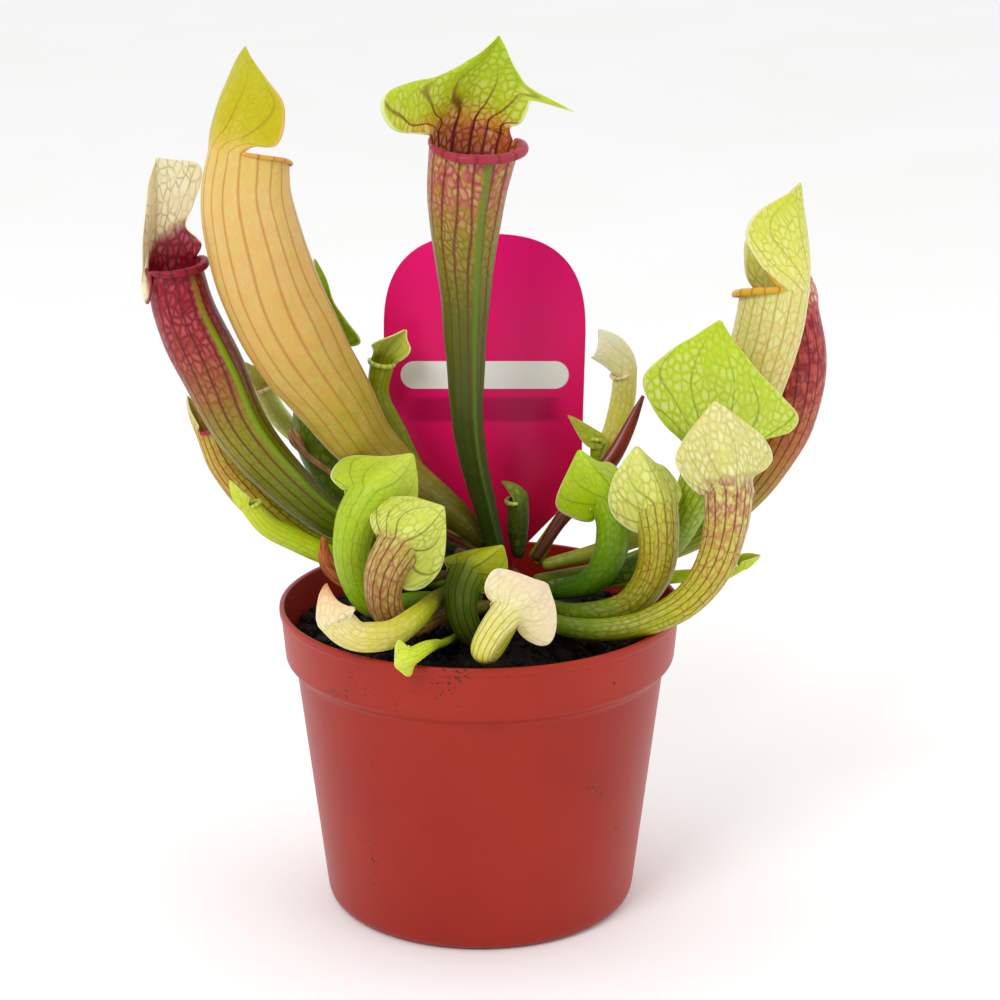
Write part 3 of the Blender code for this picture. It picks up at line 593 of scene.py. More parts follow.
# %% [markdown]
# ## The pitchers on the left
# The broad yellow one is seen from its side, so its hood shows as a long curl over the mouth. The red one
# beside it has a cream hood with a fine brown-green net. Between and below them are young leaves: some
# lime, some cream, and one no longer than a fingernail.

# %% Left pitchers
yellow_look = dict(LIME,
    skin="0 4A4A14, 0.14 6A6418, 0.3 94842A, 0.45 A8942E, 0.65 CCA85A, 0.92 DCBC74, 1.08 D0B44C,"
         "1.3 BEB01C, 2 B4B018",
    veins="0 4A3A10 0.5, 0.3 8A5C20 0.6, 0.9 B06C2C 0.55, 1.3 A07C18 0.6, 2 98901C 0.4",
    net="0 E0CC98 0, 0.4 ECD8A8 0.15, 1 ECD8A8 0.15, 1.15 A89418 0.1, 2 98A018 0.25",
    flush="0.3 CC8444 0, 0.55 D89058 0.2, 0.85 DC9860 0.3, 1 D8A050 0",
    windows="0 C8B868 0.1, 1 E4CC8C 0.3, 1.4 C8C034 0.3, 2 C0C030 0.3",
    lip="D8A040", lip_veins="B87830", margin="D8B058", veins_round=17, vein_width=0.13, fan=1)
crimson_look = dict(RED_VEINED,
    skin="0 33460F, 0.3 4F6A12, 0.62 86841E, 0.82 984430, 0.97 8A1424, 1.12 8A1424, 1.28 E8DCB4, 2 ECE8C4",
    veins="0.1 3A3A10 0.4, 0.5 5A2010 0.85, 0.95 5A0818 0.8, 1.2 7A4A30 0.7, 1.4 9A9450 0.4, 2 9A9450 0.3",
    net="0.2 5A5A14 0.1, 0.7 6A1820 0.4, 0.9 6A1820 0.7, 1.1 7A3A38 0.7, 1.3 9A9A58 0.6, 2 A0A068 0.6",
    flush="0.62 8A1428 0, 0.84 8A1428 0.75, 0.98 8A0A24 0.9, 1.15 8A1030 0.8, 1.25 8A1030 0",
    windows="0.5 A89A38 0.1, 0.84 CC6468 0.55, 0.98 CC5C6C 0.5, 1.15 D87890 0.6, 1.3 F4F0D4 0.7,"
            "2 F4F0D8 0.7",
    seam="0 5A7A10 0.9, 0.8 7FA010 1, 1 8A6A20 0.8",
    lip="8A0A28", lip_veins="5A0818", margin="F0E8D0", cell=1.5, stretch=1.6)
cream_look = dict(LIME,
    skin="0 2A3A10, 0.3 7A8A18, 0.6 BFC020, 0.85 D8CC60, 1.1 ECD9B0, 1.6 E8C898, 2 C87030",
    veins="0 3A4A10 0.4, 0.6 A09A28 0.4, 1.2 D8B888 0.4, 2 C89868 0.3",
    net="0 3A4A10 0.3, 0.8 C8B860 0.3, 2 D8BC90 0.3",
    windows="0 C8C860 0.1, 1 F4ECC8 0.4, 2 F4E4C8 0.3",
    margin="F4E8D0", lip="ECDCB0", lip_veins="C8B070")
LEFT_PITCHERS = dict(
    left_yellow=dict(
        path="1.2 7.4 81 2, -6 4 89 3.4, -18 2 99 5.1, -26 0 107 6.7, -32 -2 117 8.3, -39 -3 128 10,"
             "-45 -3 141 10.6, -48.5 -3 153 10.3, -50 -3 163 9.5, -49.2 -3 170 8.7",
        faces=-4, drop=-0.5, tilt=5, keel=0.8, roll=0.03, look=yellow_look,
        hood=hood(24.7, (0, 30), (88, 75), "15.5 -0.5, 18.7 0, 18.7 -1.5, 14.6 -2.4",
                  "10 0, 12 0, 11.5 -1, 6 -1")),
    left_red=dict(
        path="-1.6 7 75 1.7, -18 5 80 2.2, -34 3 88.5 4, -43 2 97 5.2, -52 2 108 6.1, -59 1 124 7.1,"
             "-64 0 136 7, -66.2 0 147.5 5.9",
        faces=-48, drop=2, keel=1.6, roll=0.13, flare=(0.06, 0.7),
        look=dict(crimson_look, slant=-0.6),
        hood=hood(22, (0, 12), ((30, 10), (50, 30)), "9.5 9, 6.5 5, 5 0, 3 -1",
                  "10.5 0, 6.5 0, 8 0, 9.5 -3", sway=(12, 9), rows=36)),
    left_back=dict(
        path="0.4 11.8 75.5 1.5, -14 12 81 2.2, -31 14 91 3.8, -37 15 103 5, -36 16 115 5.6,"
             "-34 15 124 5.2",
        faces=-20, drop=2, keel=0.6,
        look=dict(LIME, skin="0 2A3A10, 0.4 3A4C10, 0.75 5A7014, 1 8CB820, 2 9CC82C"),
        hood=hood(20, (-4, -8), (80, 60), "10 0, 8 0, 6 0, 3 0", "13 0.5, 9.5 0, 6 0, 3.5 0")),
    back_small=dict(
        path="2.6 13.6 77 1.2, -9 15 88 1.6, -19 16 105 2.2, -23 17 114 2.4, -22 17 121.5 2.8",
        faces=-100, drop=1, keel=0.3,
        look=dict(LIME,
            skin="0 5A6A10, 0.7 86901C, 1 A4AC28, 1.2 C8D060, 2 CCD468",
            veins="0 4A5A10 0.4, 1 6A6A18 0.7, 2 9AA040 0.4"),
        hood=hood(9.5, (10, 30), (50, 20), "5 -2, 6 -2, 5 -1, 2.5 0", "5 0, 6 -1, 5 -1, 2 0",
                  sway=(20, 35))),
    left_pale=dict(
        path="-1 14.6 74 1.2, -18 19 83 1.7, -38 22 99 2.2, -47 22 108 2.5, -50 22 114 2.6",
        faces=-30, drop=1, keel=0.3,
        look=dict(cream_look, skin="0 7A9018, 0.6 B0BC40, 1 D0D880, 2 DCE09C"),
        hood=hood(7, (10, 30), (60, 30), "4 0, 5 1, 4 0, 2 0")),
    left_veined=dict(
        path="-0.8 9.8 70.5 1.5, -18 9.4 74.5 2.1, -40 9 82 3, -50 9 90 3.9, -57 9 99 4, -61 9 108 3.2",
        faces=-30, drop=1, keel=0.4,
        look=dict(RED_VEINED,
            skin="0 6F9010, 0.5 A4AC20, 0.85 C0A444, 1.1 CCB058, 2 D8C090",
            flush="0.5 B05030 0, 0.9 B05030 0.3, 1.2 B05030 0"),
        hood=hood(8, (0, 30), (70, 40), "4.5 0, 5 0.5, 4 0, 2 0")),
    left_low=dict(
        path="-0.6 3.8 72 1.2, -18 -2.4 76.5 1.7, -31 -5 81 2.2, -40 -5 85 2.4, -48 -5 90 2.4,"
             "-51 -5 94 2.2",
        faces=10, drop=1, keel=0.3,
        look=dict(LIME, skin="0 8FAA18, 0.6 A8C020, 1 C8D040, 2 CCD44C"),
        hood=hood(7, (0, 40), (80, 50), "3 0, 4 0, 3 0, 2 0")))
grow_all(LEFT_PITCHERS)

# %% [markdown]
# ## The short pitchers in front
# These lean over the rim and face away, towards the light, so the backs of their hoods show. Each hood
# hangs to one side with a curled lobe. One is dark green, and two are cream where the skin has no green
# yet.

# %% Front pitchers
FRONT_PITCHERS = dict(
    front_left_green=dict(
        path="0.4 0.8 70 1.4, -12 -9 73 2, -24 -17.5 75.5 3.2, -27.5 -19 86 3.9, -26.5 -18 94 4.6,"
             "-23 -16 100 5",
        faces=78, drop=4, keel=0.5, look=LIME,
        hood=hood(12.5, (5, 40), (55, 35), "8.5 4, 13 4, 12 2.5, 7 1",
                  "11.5 1.5, 16.5 1.5, 17 -1.5, 10.5 -1.5", sway=(-16, -14))),
    front_left_veined=dict(
        path="2.6 -0.8 69 1.3, -8 -12.6 71 2.2, -18 -25.5 73.5 3.2, -20.5 -28.5 81 4, -19 -29 88 4.6,"
             "-15.8 -28 93 5",
        faces=75, drop=4, keel=0.5,
        look=dict(RED_VEINED, margin="E4E4AC", lip="C8B060",
            skin="0 7A7A20, 0.4 A88848, 0.85 B49450, 1.02 B8B050, 1.2 C8D05C, 2 CDD560",
            veins="0 5A2A18 0.4, 0.5 6A2020 0.85, 1 6A2020 0.8, 1.25 5A6A18 0.7, 2 6A7A20 0.4",
            net="0.2 7A3028 0.25, 0.9 8A3830 0.4, 1.15 7A8A30 0.5, 2 7A9030 0.4",
            flush="0.2 A04840 0, 0.5 A04848 0.6, 0.95 A04848 0.4, 1.1 A04848 0",
            windows="0.3 D0B080 0.2, 1.2 DCE48C 0.5, 2 DCE48C 0.5"),
        hood=hood(12, (5, 40), (50, 35), "10.5 8, 14 8.5, 12 5, 6.5 1.5", "10 1.5, 15 0, 15 -3.5, 8.5 -3.5",
                  sway=(-16, -16))),
    rim_cream=dict(
        path="2.8 1.4 74.2 1.2, -7.6 -11.6 75.2 1.6, -11 -20 75.4 1.9, -13.6 -30 75.9 2.4,"
             "-19.5 -37.4 74.6 3, -27 -39.5 76 3.5, -30.8 -39.5 80.2 3.7",
        faces=20, drop=2, keel=0.4, look=cream_look,
        hood=hood(9.5, (30, 85), (85, 70), "7 0, 8.5 -1, 7 -1, 4 0", "7 0, 8 -1, 7 -1, 4 0")),
    rim_tiny=dict(
        path="5 -2.2 66.6 0.8, -4.8 -14 66.4 0.8, -8 -26 69 0.9, -9.5 -36 72.4 1.2, -11.5 -42.5 73.6 1.6,"
             "-13.8 -45.5 73.2 1.9",
        faces=80, drop=0.5, keel=0.2,
        look=dict(LIME, skin="0 8AA820, 0.6 B4CC30, 1 C8D840, 2 D0DC58"),
        hood=hood(5.6, (10, 50), (40, 10), "4 0, 4.8 0, 4.6 0, 3.4 0")),
    front_dark=dict(
        path="8 -0.6 70 1.4, 3.5 -12 68 2.2, -1.5 -17.5 68 3, -4 -18.5 74.5 3.5, -3.8 -17.5 79 3.8,"
             "-2 -16 82.5 4",
        faces=80, drop=3, keel=0.4,
        look=dict(LIME,
            skin="0 2A3608, 0.5 3A4A12, 0.9 54681A, 1.2 A0A41E, 2 ACB81C",
            veins="0 1E2808 0.7, 0.6 241C08 0.9, 1.1 3A4A10 0.8, 2 5A6A14 0.5",
            windows="0 7A8A20 0, 1.2 A8B82C 0.15, 2 B8C838 0.2"),
        hood=hood(10, (5, 50), (50, 30), "8 3, 9 3, 7 1, 4 0", "7 1, 9 1, 7 0, 4 0", sway=(-28, -28))),
    front_cream=dict(
        path="10.6 -1.2 73 1.2, 7.5 -24 73.5 1.5, 2 -38 71 2.2, 0.8 -41.5 73 2.7, 3.4 -41.5 78 3,"
             "6.6 -40 81.5 3.5",
        faces=80, drop=2, keel=0.4,
        look=dict(cream_look,
            skin="0 A8A020, 0.4 C8C840, 0.8 D8D458, 1.02 DCD68C, 1.2 E4D8A8, 2 E8D0B8",
            veins="0.2 7A5018 0.7, 0.9 8A6028 0.7, 1.15 C8A880 0.4, 2 D8C0A0 0.2"),
        hood=hood(10.5, (0, 35), (35, 15), "9 2.5, 12 2.5, 11 1.5, 6.5 0.5", "7 1.5, 9.5 1, 10.5 -1, 6 -1",
                  sway=(-13, -13))),
    crown_young=dict(
        path="8.8 9.6 76.6 1.3, 8.6 9.6 83.5 2.3, 8.6 9 91 2.4",
        faces=180, drop=0.5, keel=0.2,
        look=dict(LIME, skin="0 232A10, 1 4A5A18, 1.5 6A7A20, 2 7A8A20"),
        hood=hood(8, (20, 100), (80, 60), "4 0, 4 0, 3 0, 2 0")))
grow_all(FRONT_PITCHERS)

# %% [markdown]
# ## The pitchers on the right
# Four overlapping pitchers rise from a thick sheaf of stalks. The broadest hood is bright lime with pale
# windows, and the one in front of it is pale yellow-green over a tube flushed pink. Behind them stand a
# tall pale one, seen from its side, and a red one.

# %% Right pitchers
RIGHT_PITCHERS = dict(
    back_young=dict(
        path="13 12.6 74 0.9, 20 15.5 87 1, 26 18 95.5 1.1, 27.3 18.5 102.4 2.1",
        faces=180, drop=0, keel=0.2,
        look=dict(LIME, skin="0 6A7A18, 1 A0A828, 2 ACB434"),
        hood=hood(11.5, (60, 80), (80, 60), "4 0, 4.5 0, 4 0, 2.5 0")),
    back_pale=dict(
        path="11.6 14.4 75 1.1, 19 18.5 84 1.6, 29.5 24 99 2.6, 32.8 27 109 2.9, 33.2 27 117 2.8",
        faces=200, drop=2, keel=0.3,
        look=dict(cream_look, skin="0 8A9A28, 0.5 C4BC3C, 0.9 D4CC60, 1.2 E0DCA4, 2 E6E4CC"),
        hood=hood(14, (15, 80), (85, 60), "6 0, 7 -2, 6 -2, 4 -1", "7 0, 9 -3, 9 -5, 6 -3")),
    right_green=dict(
        path="13.9 3 70.8 1.4, 20 -1.6 73 2.2, 26 -5 77 3.2, 29 -5.5 83 3.7, 29.5 -5 90 3.9,"
             "28 -4.5 96 4.1",
        faces=110, drop=4, keel=0.4,
        look=dict(LIME, margin="E4C8A4", skin="0 1E3A0A, 0.45 467010, 0.85 86AC20, 1.2 B0CC30, 2 B8D03C"),
        hood=hood(13, (0, 40), (50, 35), "8 0, 9 -1, 7 -2, 3.5 0", "9 5, 12.5 5, 13 3.5, 9 2.5",
                  sway=(18, 18))),
    right_veined=dict(
        path="12.9 -1 70 1.4, 22 -11.5 70.8 2.3, 33 -14.5 74 3.4, 38.2 -14.5 81.5 4.1, 39 -14 89.5 4.4,"
             "38.2 -13 97 4.8",
        faces=105, drop=4, keel=0.5,
        look=dict(RED_VEINED, margin="E4E4A8", lip="D0C868", lip_veins="8A6A30",
            skin="0 24420C, 0.35 5A7C14, 0.7 A4A420, 1.1 CCD05C, 2 D8DC7C",
            veins="0.2 7A4A20 0.4, 0.6 8A4020 0.8, 1 7A4420 0.7, 1.3 7A8A28 0.5, 2 8A9A30 0.3",
            flush="0.4 A05830 0, 0.8 A05830 0.3, 1.1 A05830 0",
            windows="0.8 D8D070 0.2, 1.2 E4E8A0 0.6, 2 E8ECA8 0.6"),
        hood=hood(14, (0, 40), (50, 35), "9 1, 10 0, 7.5 -2, 4 0", "7.5 6.5, 11.5 6.5, 12 4, 8 1.5",
                  sway=(14, 14))),
    right_pink=dict(
        path="9.8 -4.4 69.8 1.4, 20.5 -18 69.6 2.3, 36 -22.5 72.4 2.8, 46 -22.5 78.5 3.6, 51 -22 86 4.2,"
             "53 -21 94 4.7, 53.5 -20.5 103 5.4",
        faces=96, drop=4, keel=0.6,
        look=dict(RED_VEINED, margin="ECE8B0", lip="D8B060",
            skin="0 3A5A10, 0.3 6E8E16, 0.6 B0B024, 0.95 CCBC60, 1.15 D0CC78, 2 D8D084",
            veins="0.2 6A5A18 0.4, 0.6 6A3018 0.8, 1 6A1828 0.8, 1.25 A08A40 0.4, 2 A8A850 0.3",
            net="0.2 7A8A20 0.3, 0.8 8A3A28 0.6, 1.1 A88A50 0.25, 2 B0B060 0.25",
            flush="0.62 B02838 0, 0.82 B02838 0.4, 1 9A2448 0.7, 1.12 8A2050 0.6, 1.25 8A2050 0",
            windows="0.7 E8C8A0 0.2, 1.2 F0F0C0 0.6, 2 F0F0C0 0.6"),
        hood=hood(19.5, (0, 40), (45, 25), "8 -1, 12.5 0.5, 14.5 1, 10 -0.5", "8.5 3, 11 4, 12 2.5, 7.5 1",
                  sway=(13, 13))),
    right_broad=dict(
        path="14.6 5.6 71 1.3, 27 1.5 74.5 2.2, 41 -0.5 82 3.3, 47 -2 94 4.4, 51.5 -3 104 5.6",
        faces=92, drop=4, keel=0.5,
        look=dict(LIME, veins_round=20, vein_width=0.13, fan=2.2, cell=1.7, stretch=1.3, margin="D0DC70",
            skin="0 24420C, 0.5 5A7C18, 1 B0C838, 1.4 C0D444, 2 B4CC34",
            veins="0 4A5A10 0.4, 1 5A5A10 0.7, 1.5 6A7418 0.5, 2 6A7A20 0.2",
            net="0 6A8A20 0.2, 1 7A9A20 0.4, 1.6 8AAA28 0.35, 2 8AAA28 0.2",
            windows="0.8 D0DC80 0.3, 1.1 E8ECA8 0.6, 1.6 E4EA98 0.5, 2 D8E480 0.2"),
        hood=hood(32.5, (0, 15), (25, 10), "12.5 -6, 19.5 -4, 20.5 -2.5, 9.5 -0.5",
                  "9 2, 15 4, 18.5 4, 11 2", sway=(22, 23))),
    far_right_yellow=dict(
        path="14 9.4 75 1.3, 30 11 79 2, 46 11 87 3, 57 10 103 4.9, 61.5 10 118 6.8, 64 10 130 7.7,"
             "65.5 10 140 7.6",
        faces=188, drop=3, tilt=-5, keel=0.5, roll=0.1,
        look=dict(yellow_look, lip="D8A820", margin="E4E0A0",
            skin="0 7A8A20, 0.4 C4BC50, 0.8 DCD484, 1 DCD888, 1.2 DCDC70, 2 C8D048",
            veins="0.1 8A8A28 0.4, 0.6 B8982C 0.7, 1.2 B09830 0.6, 2 98A030 0.4",
            net="0.2 B8B040 0.3, 0.8 C0A848 0.6, 1.3 B0B040 0.6, 2 A0B038 0.5",
            windows="0.3 DCD890 0.2, 1 ECE8B8 0.5, 2 E4E890 0.4"),
        hood=hood(24.3, (10, 23), (86, 75), "15.5 -1, 16.5 -1, 14.5 -2, 8 -1.5",
                  "15 -2.5, 17.5 -4, 18.5 -4.5, 14 -4")),
    far_right_red=dict(
        path="12 11.6 70.6 1.3, 32 18 72 2.1, 52 21 80 3.3, 64 23.5 92 4.8, 71 25 106 6.2, 72.5 25 120 6.5,"
             "71 25 131 6",
        faces=190, drop=2, keel=0.4,
        look=dict(crimson_look, margin="C87070",
            skin="0 6A7A20, 0.42 86962A, 0.68 B87840, 0.88 C45850, 2 B04050"),
        hood=hood(9, (0, 20), (80, 50), "7 0, 7 0, 5 0, 3 0")),
    right_tiny=dict(
        path="15.8 7.8 69.4 1.1, 32 7.6 71.8 1.3, 46 7.6 73 1.6, 54 7 73.6 1.8, 58.5 6.5 76.4 1.8",
        faces=180, drop=0.5, keel=0.2,
        look=dict(LIME, skin="0 7A9A18, 0.6 A8BC24, 1 C0CC30, 2 C8D444"),
        hood=hood(5, (0, 30), (80, 50), "3 0, 3.4 0, 3 0, 2 0")))
grow_all(RIGHT_PITCHERS)

# %% [markdown]
# ## The spear leaf and the dried remains
# One leaf is a plain red spear that never opened. Four older ones have died back: two brown stubs, a dry
# sheath and a shrivelled bud on a thread of a stalk. They could be curves with a bevel, but grown like
# the pitchers they can be flattened and creased, as dry leaves are.

# %% Spear and remains
STEM_SIDES = 20
STEM_STEP = 0.9
CREASE = 0.25


def dry_skin(name, dark, light, streak_mm):
    """Dried leaf: matt brown, with fine lengthwise fibres that give a streaky, slightly silky surface."""
    material, add, shader = new_material(name, 0.7, IOR=1.45)
    mm = add("UVMap", uv_map="leaf_mm")
    fibres = add("Mapping", Vector=mm, Scale=(1 / streak_mm, 0.12 / streak_mm, 1))
    streaks = add("TexNoise", Vector=fibres, Scale=1, Detail=4, noise_dimensions="2D")
    link(shader, Base_Color=add("ValToRGB", streaks, stops=f"0.32 {dark}, 0.68 {light}"),
         Normal=add("Bump", Height=streaks, Strength=0.6, Distance=0.2 * MM))
    return material


def grow_stem(node, path, flat, material):
    """A tapering leaf, closed at both ends. flat = its thickness as a share of its width."""
    path, far = along(read_rows(path), step=STEM_STEP)
    tangents = unit(np.gradient(path[:, :3], axis=0))
    turns = 2 * pi * np.arange(STEM_SIDES) / STEM_SIDES
    round_share = (turns - pi) / (2 * pi)
    crease = 1 - CREASE * np.clip(np.cos(turns), 0, 1) ** 6
    bm, maps, fields = new_leaf_mesh()
    chain = bmesh.ops.create_circle(bm, cap_ends=True, segments=STEM_SIDES, radius=MM)["verts"]
    values = {}
    for i, (place, tangent) in enumerate(zip(path, tangents)):
        side = unit(np.cross(tangent, (0, 1, 0)))
        ring = place[:3] + place[3] * (np.cos(turns) * crease)[:, None] * flat * np.cross(side, tangent)
        ring = uneven(ring + place[3] * np.sin(turns)[:, None] * side, TUBE_WANDER)
        if i:
            chain = grow(bm, chain, ring, closed=True)
        else:
            for vert, point in zip(chain, ring):
                vert.co = point * MM
        values.update(zip(chain, np.c_[round_share, np.full(STEM_SIDES, i / len(far)),
                                       round_share * 2 * pi * place[3], np.full(STEM_SIDES, far[i]),
                                       np.zeros((STEM_SIDES, 2))]))
    bmesh.ops.contextual_create(bm, geom=[bm.edges.get(pair) for pair in zip(chain, chain[1:] + chain[:1])])
    bmesh.ops.recalc_face_normals(bm, faces=bm.faces)
    write_maps(bm, maps, fields, values)
    piece = finish_mesh(bm, node + "_leaf")
    piece.data.materials.append(material)
    stand_for(piece, node)
    return piece


spear_red, add, shader = new_material("waxy_red_leaf", 0.35, IOR=1.45, Coat_Weight=0.2, Coat_Roughness=0.25)
share = add("SeparateXYZ", add("UVMap", uv_map="leaf_map"))
mm = add("UVMap", uv_map="leaf_mm")
lengthwise = add("Mapping", Vector=mm, Scale=(1.4, 0.12, 1))
streaks = add("TexNoise", Vector=lengthwise, Scale=1, Detail=3, noise_dimensions="2D")
red = add("ValToRGB", share.node.outputs[1], stops="0 4A2A10, 0.3 7A2418, 0.8 8A2418, 1 5A1810")
streaked = add("MixRGB", 0.5, red, add("ValToRGB", streaks, stops="0.35 303030, 0.65 D0C0A0"),
               blend_type="SOFT_LIGHT")
link(shader, Base_Color=streaked)

STEMS = dict(
    spear_leaf_red=(0.6, spear_red, "12.4 8.6 76.5 1.1, 17 9.4 84 1.5, 23 10.8 91 1.9, 30 13 99.6 1.9, "
                                    "34 15.5 106.4 1.4, 37 18 112.6 0.4"),
    dried_bud=(0.8, dry_skin("dried_bud_skin", "7A4A28", "C89A68", 0.5),
               "0.2 9.4 79 0.8, -18 9.6 88 0.7, -36 9 99 0.7, -39.5 8.6 102 0.8, -41.5 8.4 105.5 1.5, "
               "-42.5 8.4 107.5 0.5"),
    dried_sheath=(0.55, dry_skin("dried_sheath_skin", "7A300C", "C8702C", 0.5),
                  "-1.8 0 74.5 0.8, -19 -8.4 79.5 0.9, -29 -9.6 77.4 1.6, -33.5 -10 82 1.8, "
                  "-34.5 -10 88 0.5"),
    old_petiole_left=(0.8, dry_skin("old_petiole_left_skin", "3A2410", "8A6A30", 0.4),
                      "2.2 2.8 77 1, -6 -8 79 1.1, -12.5 -15.5 79.4 0.9"),
    old_petiole_front=(0.8, dry_skin("old_petiole_front_skin", "341C0C", "7A5428", 0.4),
                       "5.4 0.8 75.6 1, 0.6 -5.2 81 1.1, -5 -9.4 84.5 0.9"))
for node, (flat, material, path) in STEMS.items():
    piece = grow_stem(node, path, flat, material)
    print(piece.name, len(piece.data.polygons), "faces")

# %% [markdown]
# ## The crown
# The leaves all grow from a short rhizome, a knobbly stem at the soil's surface. A sphere pushed in and
# out by noise is enough, because the stalks hide most of it.

# %% Rhizome
CROWN = Vector((7, 8, 69))
CROWN_RADII = Vector((3.6, 3.6, 6.2))
KNOBS = 0.12
bm = bmesh.new()
bmesh.ops.create_icosphere(bm, subdivisions=4, radius=1)
for vert in bm.verts:
    knobs = 1 - KNOBS * abs(noise.noise(vert.co * 3))
    vert.co = (CROWN + knobs * vert.co * CROWN_RADII) * MM
crown = finish_mesh(bm, "crown")
rind, add, shader = new_material("rhizome_rind", 0.75)
BARK_SCALE = 900              # per metre: flakes of about 1 mm
coordinates = add("TexCoord").node.outputs["Object"]
flakes = add("TexNoise", Vector=coordinates, Scale=BARK_SCALE, Detail=5)
link(shader, Base_Color=add("ValToRGB", flakes, stops="0.35 2A100A, 0.65 6A3018"),
     Normal=add("Bump", Height=flakes, Strength=0.6, Distance=0.3 * MM))
crown.data.materials.append(rind)
stand_for(crown, "rhizome")
print("crown", [round(value / MM, 1) for value in crown.dimensions], "mm")

# %% [markdown]
# ## The pot
# A nursery pot is moulded in thin polypropylene. It has a tapered body, a collar that stiffens the rim
# and helps pots to stack, and drain holes in its floor. Its wall could be a cone with Solidify, but the
# collar, the step and the rounded corners are all turned shapes. So one profile, inside and outside, is
# rounded at its corners and spun round the axis. The holes are cut with cylinders afterwards.

# %% Pot
POT_HEIGHT = 70
RIM_RADIUS = 45
COLLAR_FOOT = 58
COLLAR_FOOT_RADIUS = 43.7
BODY_TOP_RADIUS = 41.2
BASE_RADIUS = 34.8
WALL = 1
FLOOR = 1.6
TURN_STEPS = 160
HOLES, HOLE_RADIUS, HOLE_RING = 6, 3, 22


def body_radius(height):
    return BASE_RADIUS + (BODY_TOP_RADIUS - BASE_RADIUS) * height / (COLLAR_FOOT - 3)


def rounded(corners, steps=4):
    """A profile of (radius, height, rounding) corners, each but the ends drawn as a small curve."""
    points = [np.array(corners[0][:2], float)]
    for before, (x, z, rounding), after in zip(corners, corners[1:], corners[2:]):
        corner = np.array((x, z), float)
        start, end = [corner + min(rounding, 0.45 * np.linalg.norm(np.array(other[:2]) - corner))
                      * unit(np.array(other[:2], float) - corner) for other in (before, after)]
        for t in np.linspace(0, 1, steps + 1):
            points.append((1 - t) ** 2 * start + 2 * t * (1 - t) * corner + t**2 * end)
    return points + [np.array(corners[-1][:2], float)]


def spin_profile(profile, steps):
    """A closed turned body in a bmesh, from a profile that starts and ends on the axis."""
    bm = bmesh.new()
    verts = [bm.verts.new((radius * MM, 0, height * MM)) for radius, height in profile]
    edges = [bm.edges.new(pair) for pair in zip(verts, verts[1:])]
    bmesh.ops.spin(bm, geom=verts + edges, cent=(0, 0, 0), axis=(0, 0, 1), angle=2 * pi, steps=steps,
                   use_merge=True)
    bmesh.ops.remove_doubles(bm, verts=bm.verts, dist=0.01 * MM)
    bmesh.ops.recalc_face_normals(bm, faces=bm.faces)
    return bm


pot_profile = rounded((
    (0, FLOOR, 0), (body_radius(4.6) - WALL - 2, FLOOR, 2), (body_radius(6) - WALL, 6, 2),
    (BODY_TOP_RADIUS - WALL, COLLAR_FOOT - 2, 1), (COLLAR_FOOT_RADIUS - WALL, COLLAR_FOOT + 1, 1),
    (RIM_RADIUS - WALL - 0.1, POT_HEIGHT, 0.4), (RIM_RADIUS, POT_HEIGHT, 0.5),
    (RIM_RADIUS, POT_HEIGHT - 1.6, 0.3), (RIM_RADIUS - 0.4, POT_HEIGHT - 1.9, 0.3),
    (COLLAR_FOOT_RADIUS, COLLAR_FOOT, 0.8),
    (BODY_TOP_RADIUS + 0.3, COLLAR_FOOT - 1.8, 1.2), (BODY_TOP_RADIUS, COLLAR_FOOT - 4, 1.2),
    (body_radius(1.5), 1.5, 2), (BASE_RADIUS - 1.6, 0, 1), (0, 0, 0)))
pot = finish_mesh(spin_profile(pot_profile, TURN_STEPS), "nursery_pot")
for turn in np.arange(HOLES) * 2 * pi / HOLES:
    bm = bmesh.new()
    bmesh.ops.create_cone(bm, cap_ends=True, segments=32, radius1=HOLE_RADIUS * MM, radius2=HOLE_RADIUS * MM,
                          depth=4 * FLOOR * MM)
    bmesh.ops.translate(bm, vec=(HOLE_RING * MM * cos(turn), HOLE_RING * MM * sin(turn), 0), verts=bm.verts)
    hole = finish_mesh(bm, "drain_hole")
    drill = pot.modifiers.new("drain", "BOOLEAN")
    drill.object = hole
    cut_pot = pot.evaluated_get(bpy.context.evaluated_depsgraph_get())
    pot.data = bpy.data.meshes.new_from_object(cut_pot)
    pot.modifiers.clear()
    bpy.data.objects.remove(hole)
stand_for(pot, "pot")
print("pot", [round(value / MM, 1) for value in pot.dimensions], "mm,", len(pot.data.polygons), "faces")

# %% [markdown]
# ### Moulded plastic
# Polypropylene comes out of the mould satin, not glossy. It gives the eye a broad soft highlight and
# fine, shallow ripples. In use it picks up specks of soil, most of them near the rim and the foot.

# %% Pot plastic
SPECK_SCALE = 1300            # per metre
SOILED_FOOT = 12              # millimetres up from the ground
SOILED_RIM = (54, 62)
MORE_SOIL = 0.04
SPECK_LIMIT = (1.37, 1.42)
plastic, add, shader = new_material("moulded_polypropylene", 0.38, IOR=1.49, Specular_IOR_Level=0.25)
coordinates = add("TexCoord").node.outputs["Object"]
cloudy = add("TexNoise", Vector=coordinates, Scale=35, Detail=4)
red = add("ValToRGB", cloudy, stops="0.3 961E10, 0.7 A02614")
height = add("SeparateXYZ", coordinates).node.outputs[2]
collar = between(add, height, (COLLAR_FOOT - 1) * MM, (COLLAR_FOOT + 3) * MM)
red = add("MixRGB", collar, red, add("ValToRGB", cloudy, stops="0.3 9A2212, 0.7 A82A18"))
speck = add("TexNoise", Vector=coordinates, Scale=SPECK_SCALE, Detail=1)
patch = add("TexNoise", Vector=coordinates, Scale=60, Detail=2)
near_foot = between(add, height, SOILED_FOOT * MM, 0)
near_rim = between(add, height, SOILED_RIM[0] * MM, SOILED_RIM[1] * MM)
soiled = add("Math", near_foot, near_rim, operation="MAXIMUM")
soiled = add("Math", soiled, MORE_SOIL, patch, operation="MULTIPLY_ADD")
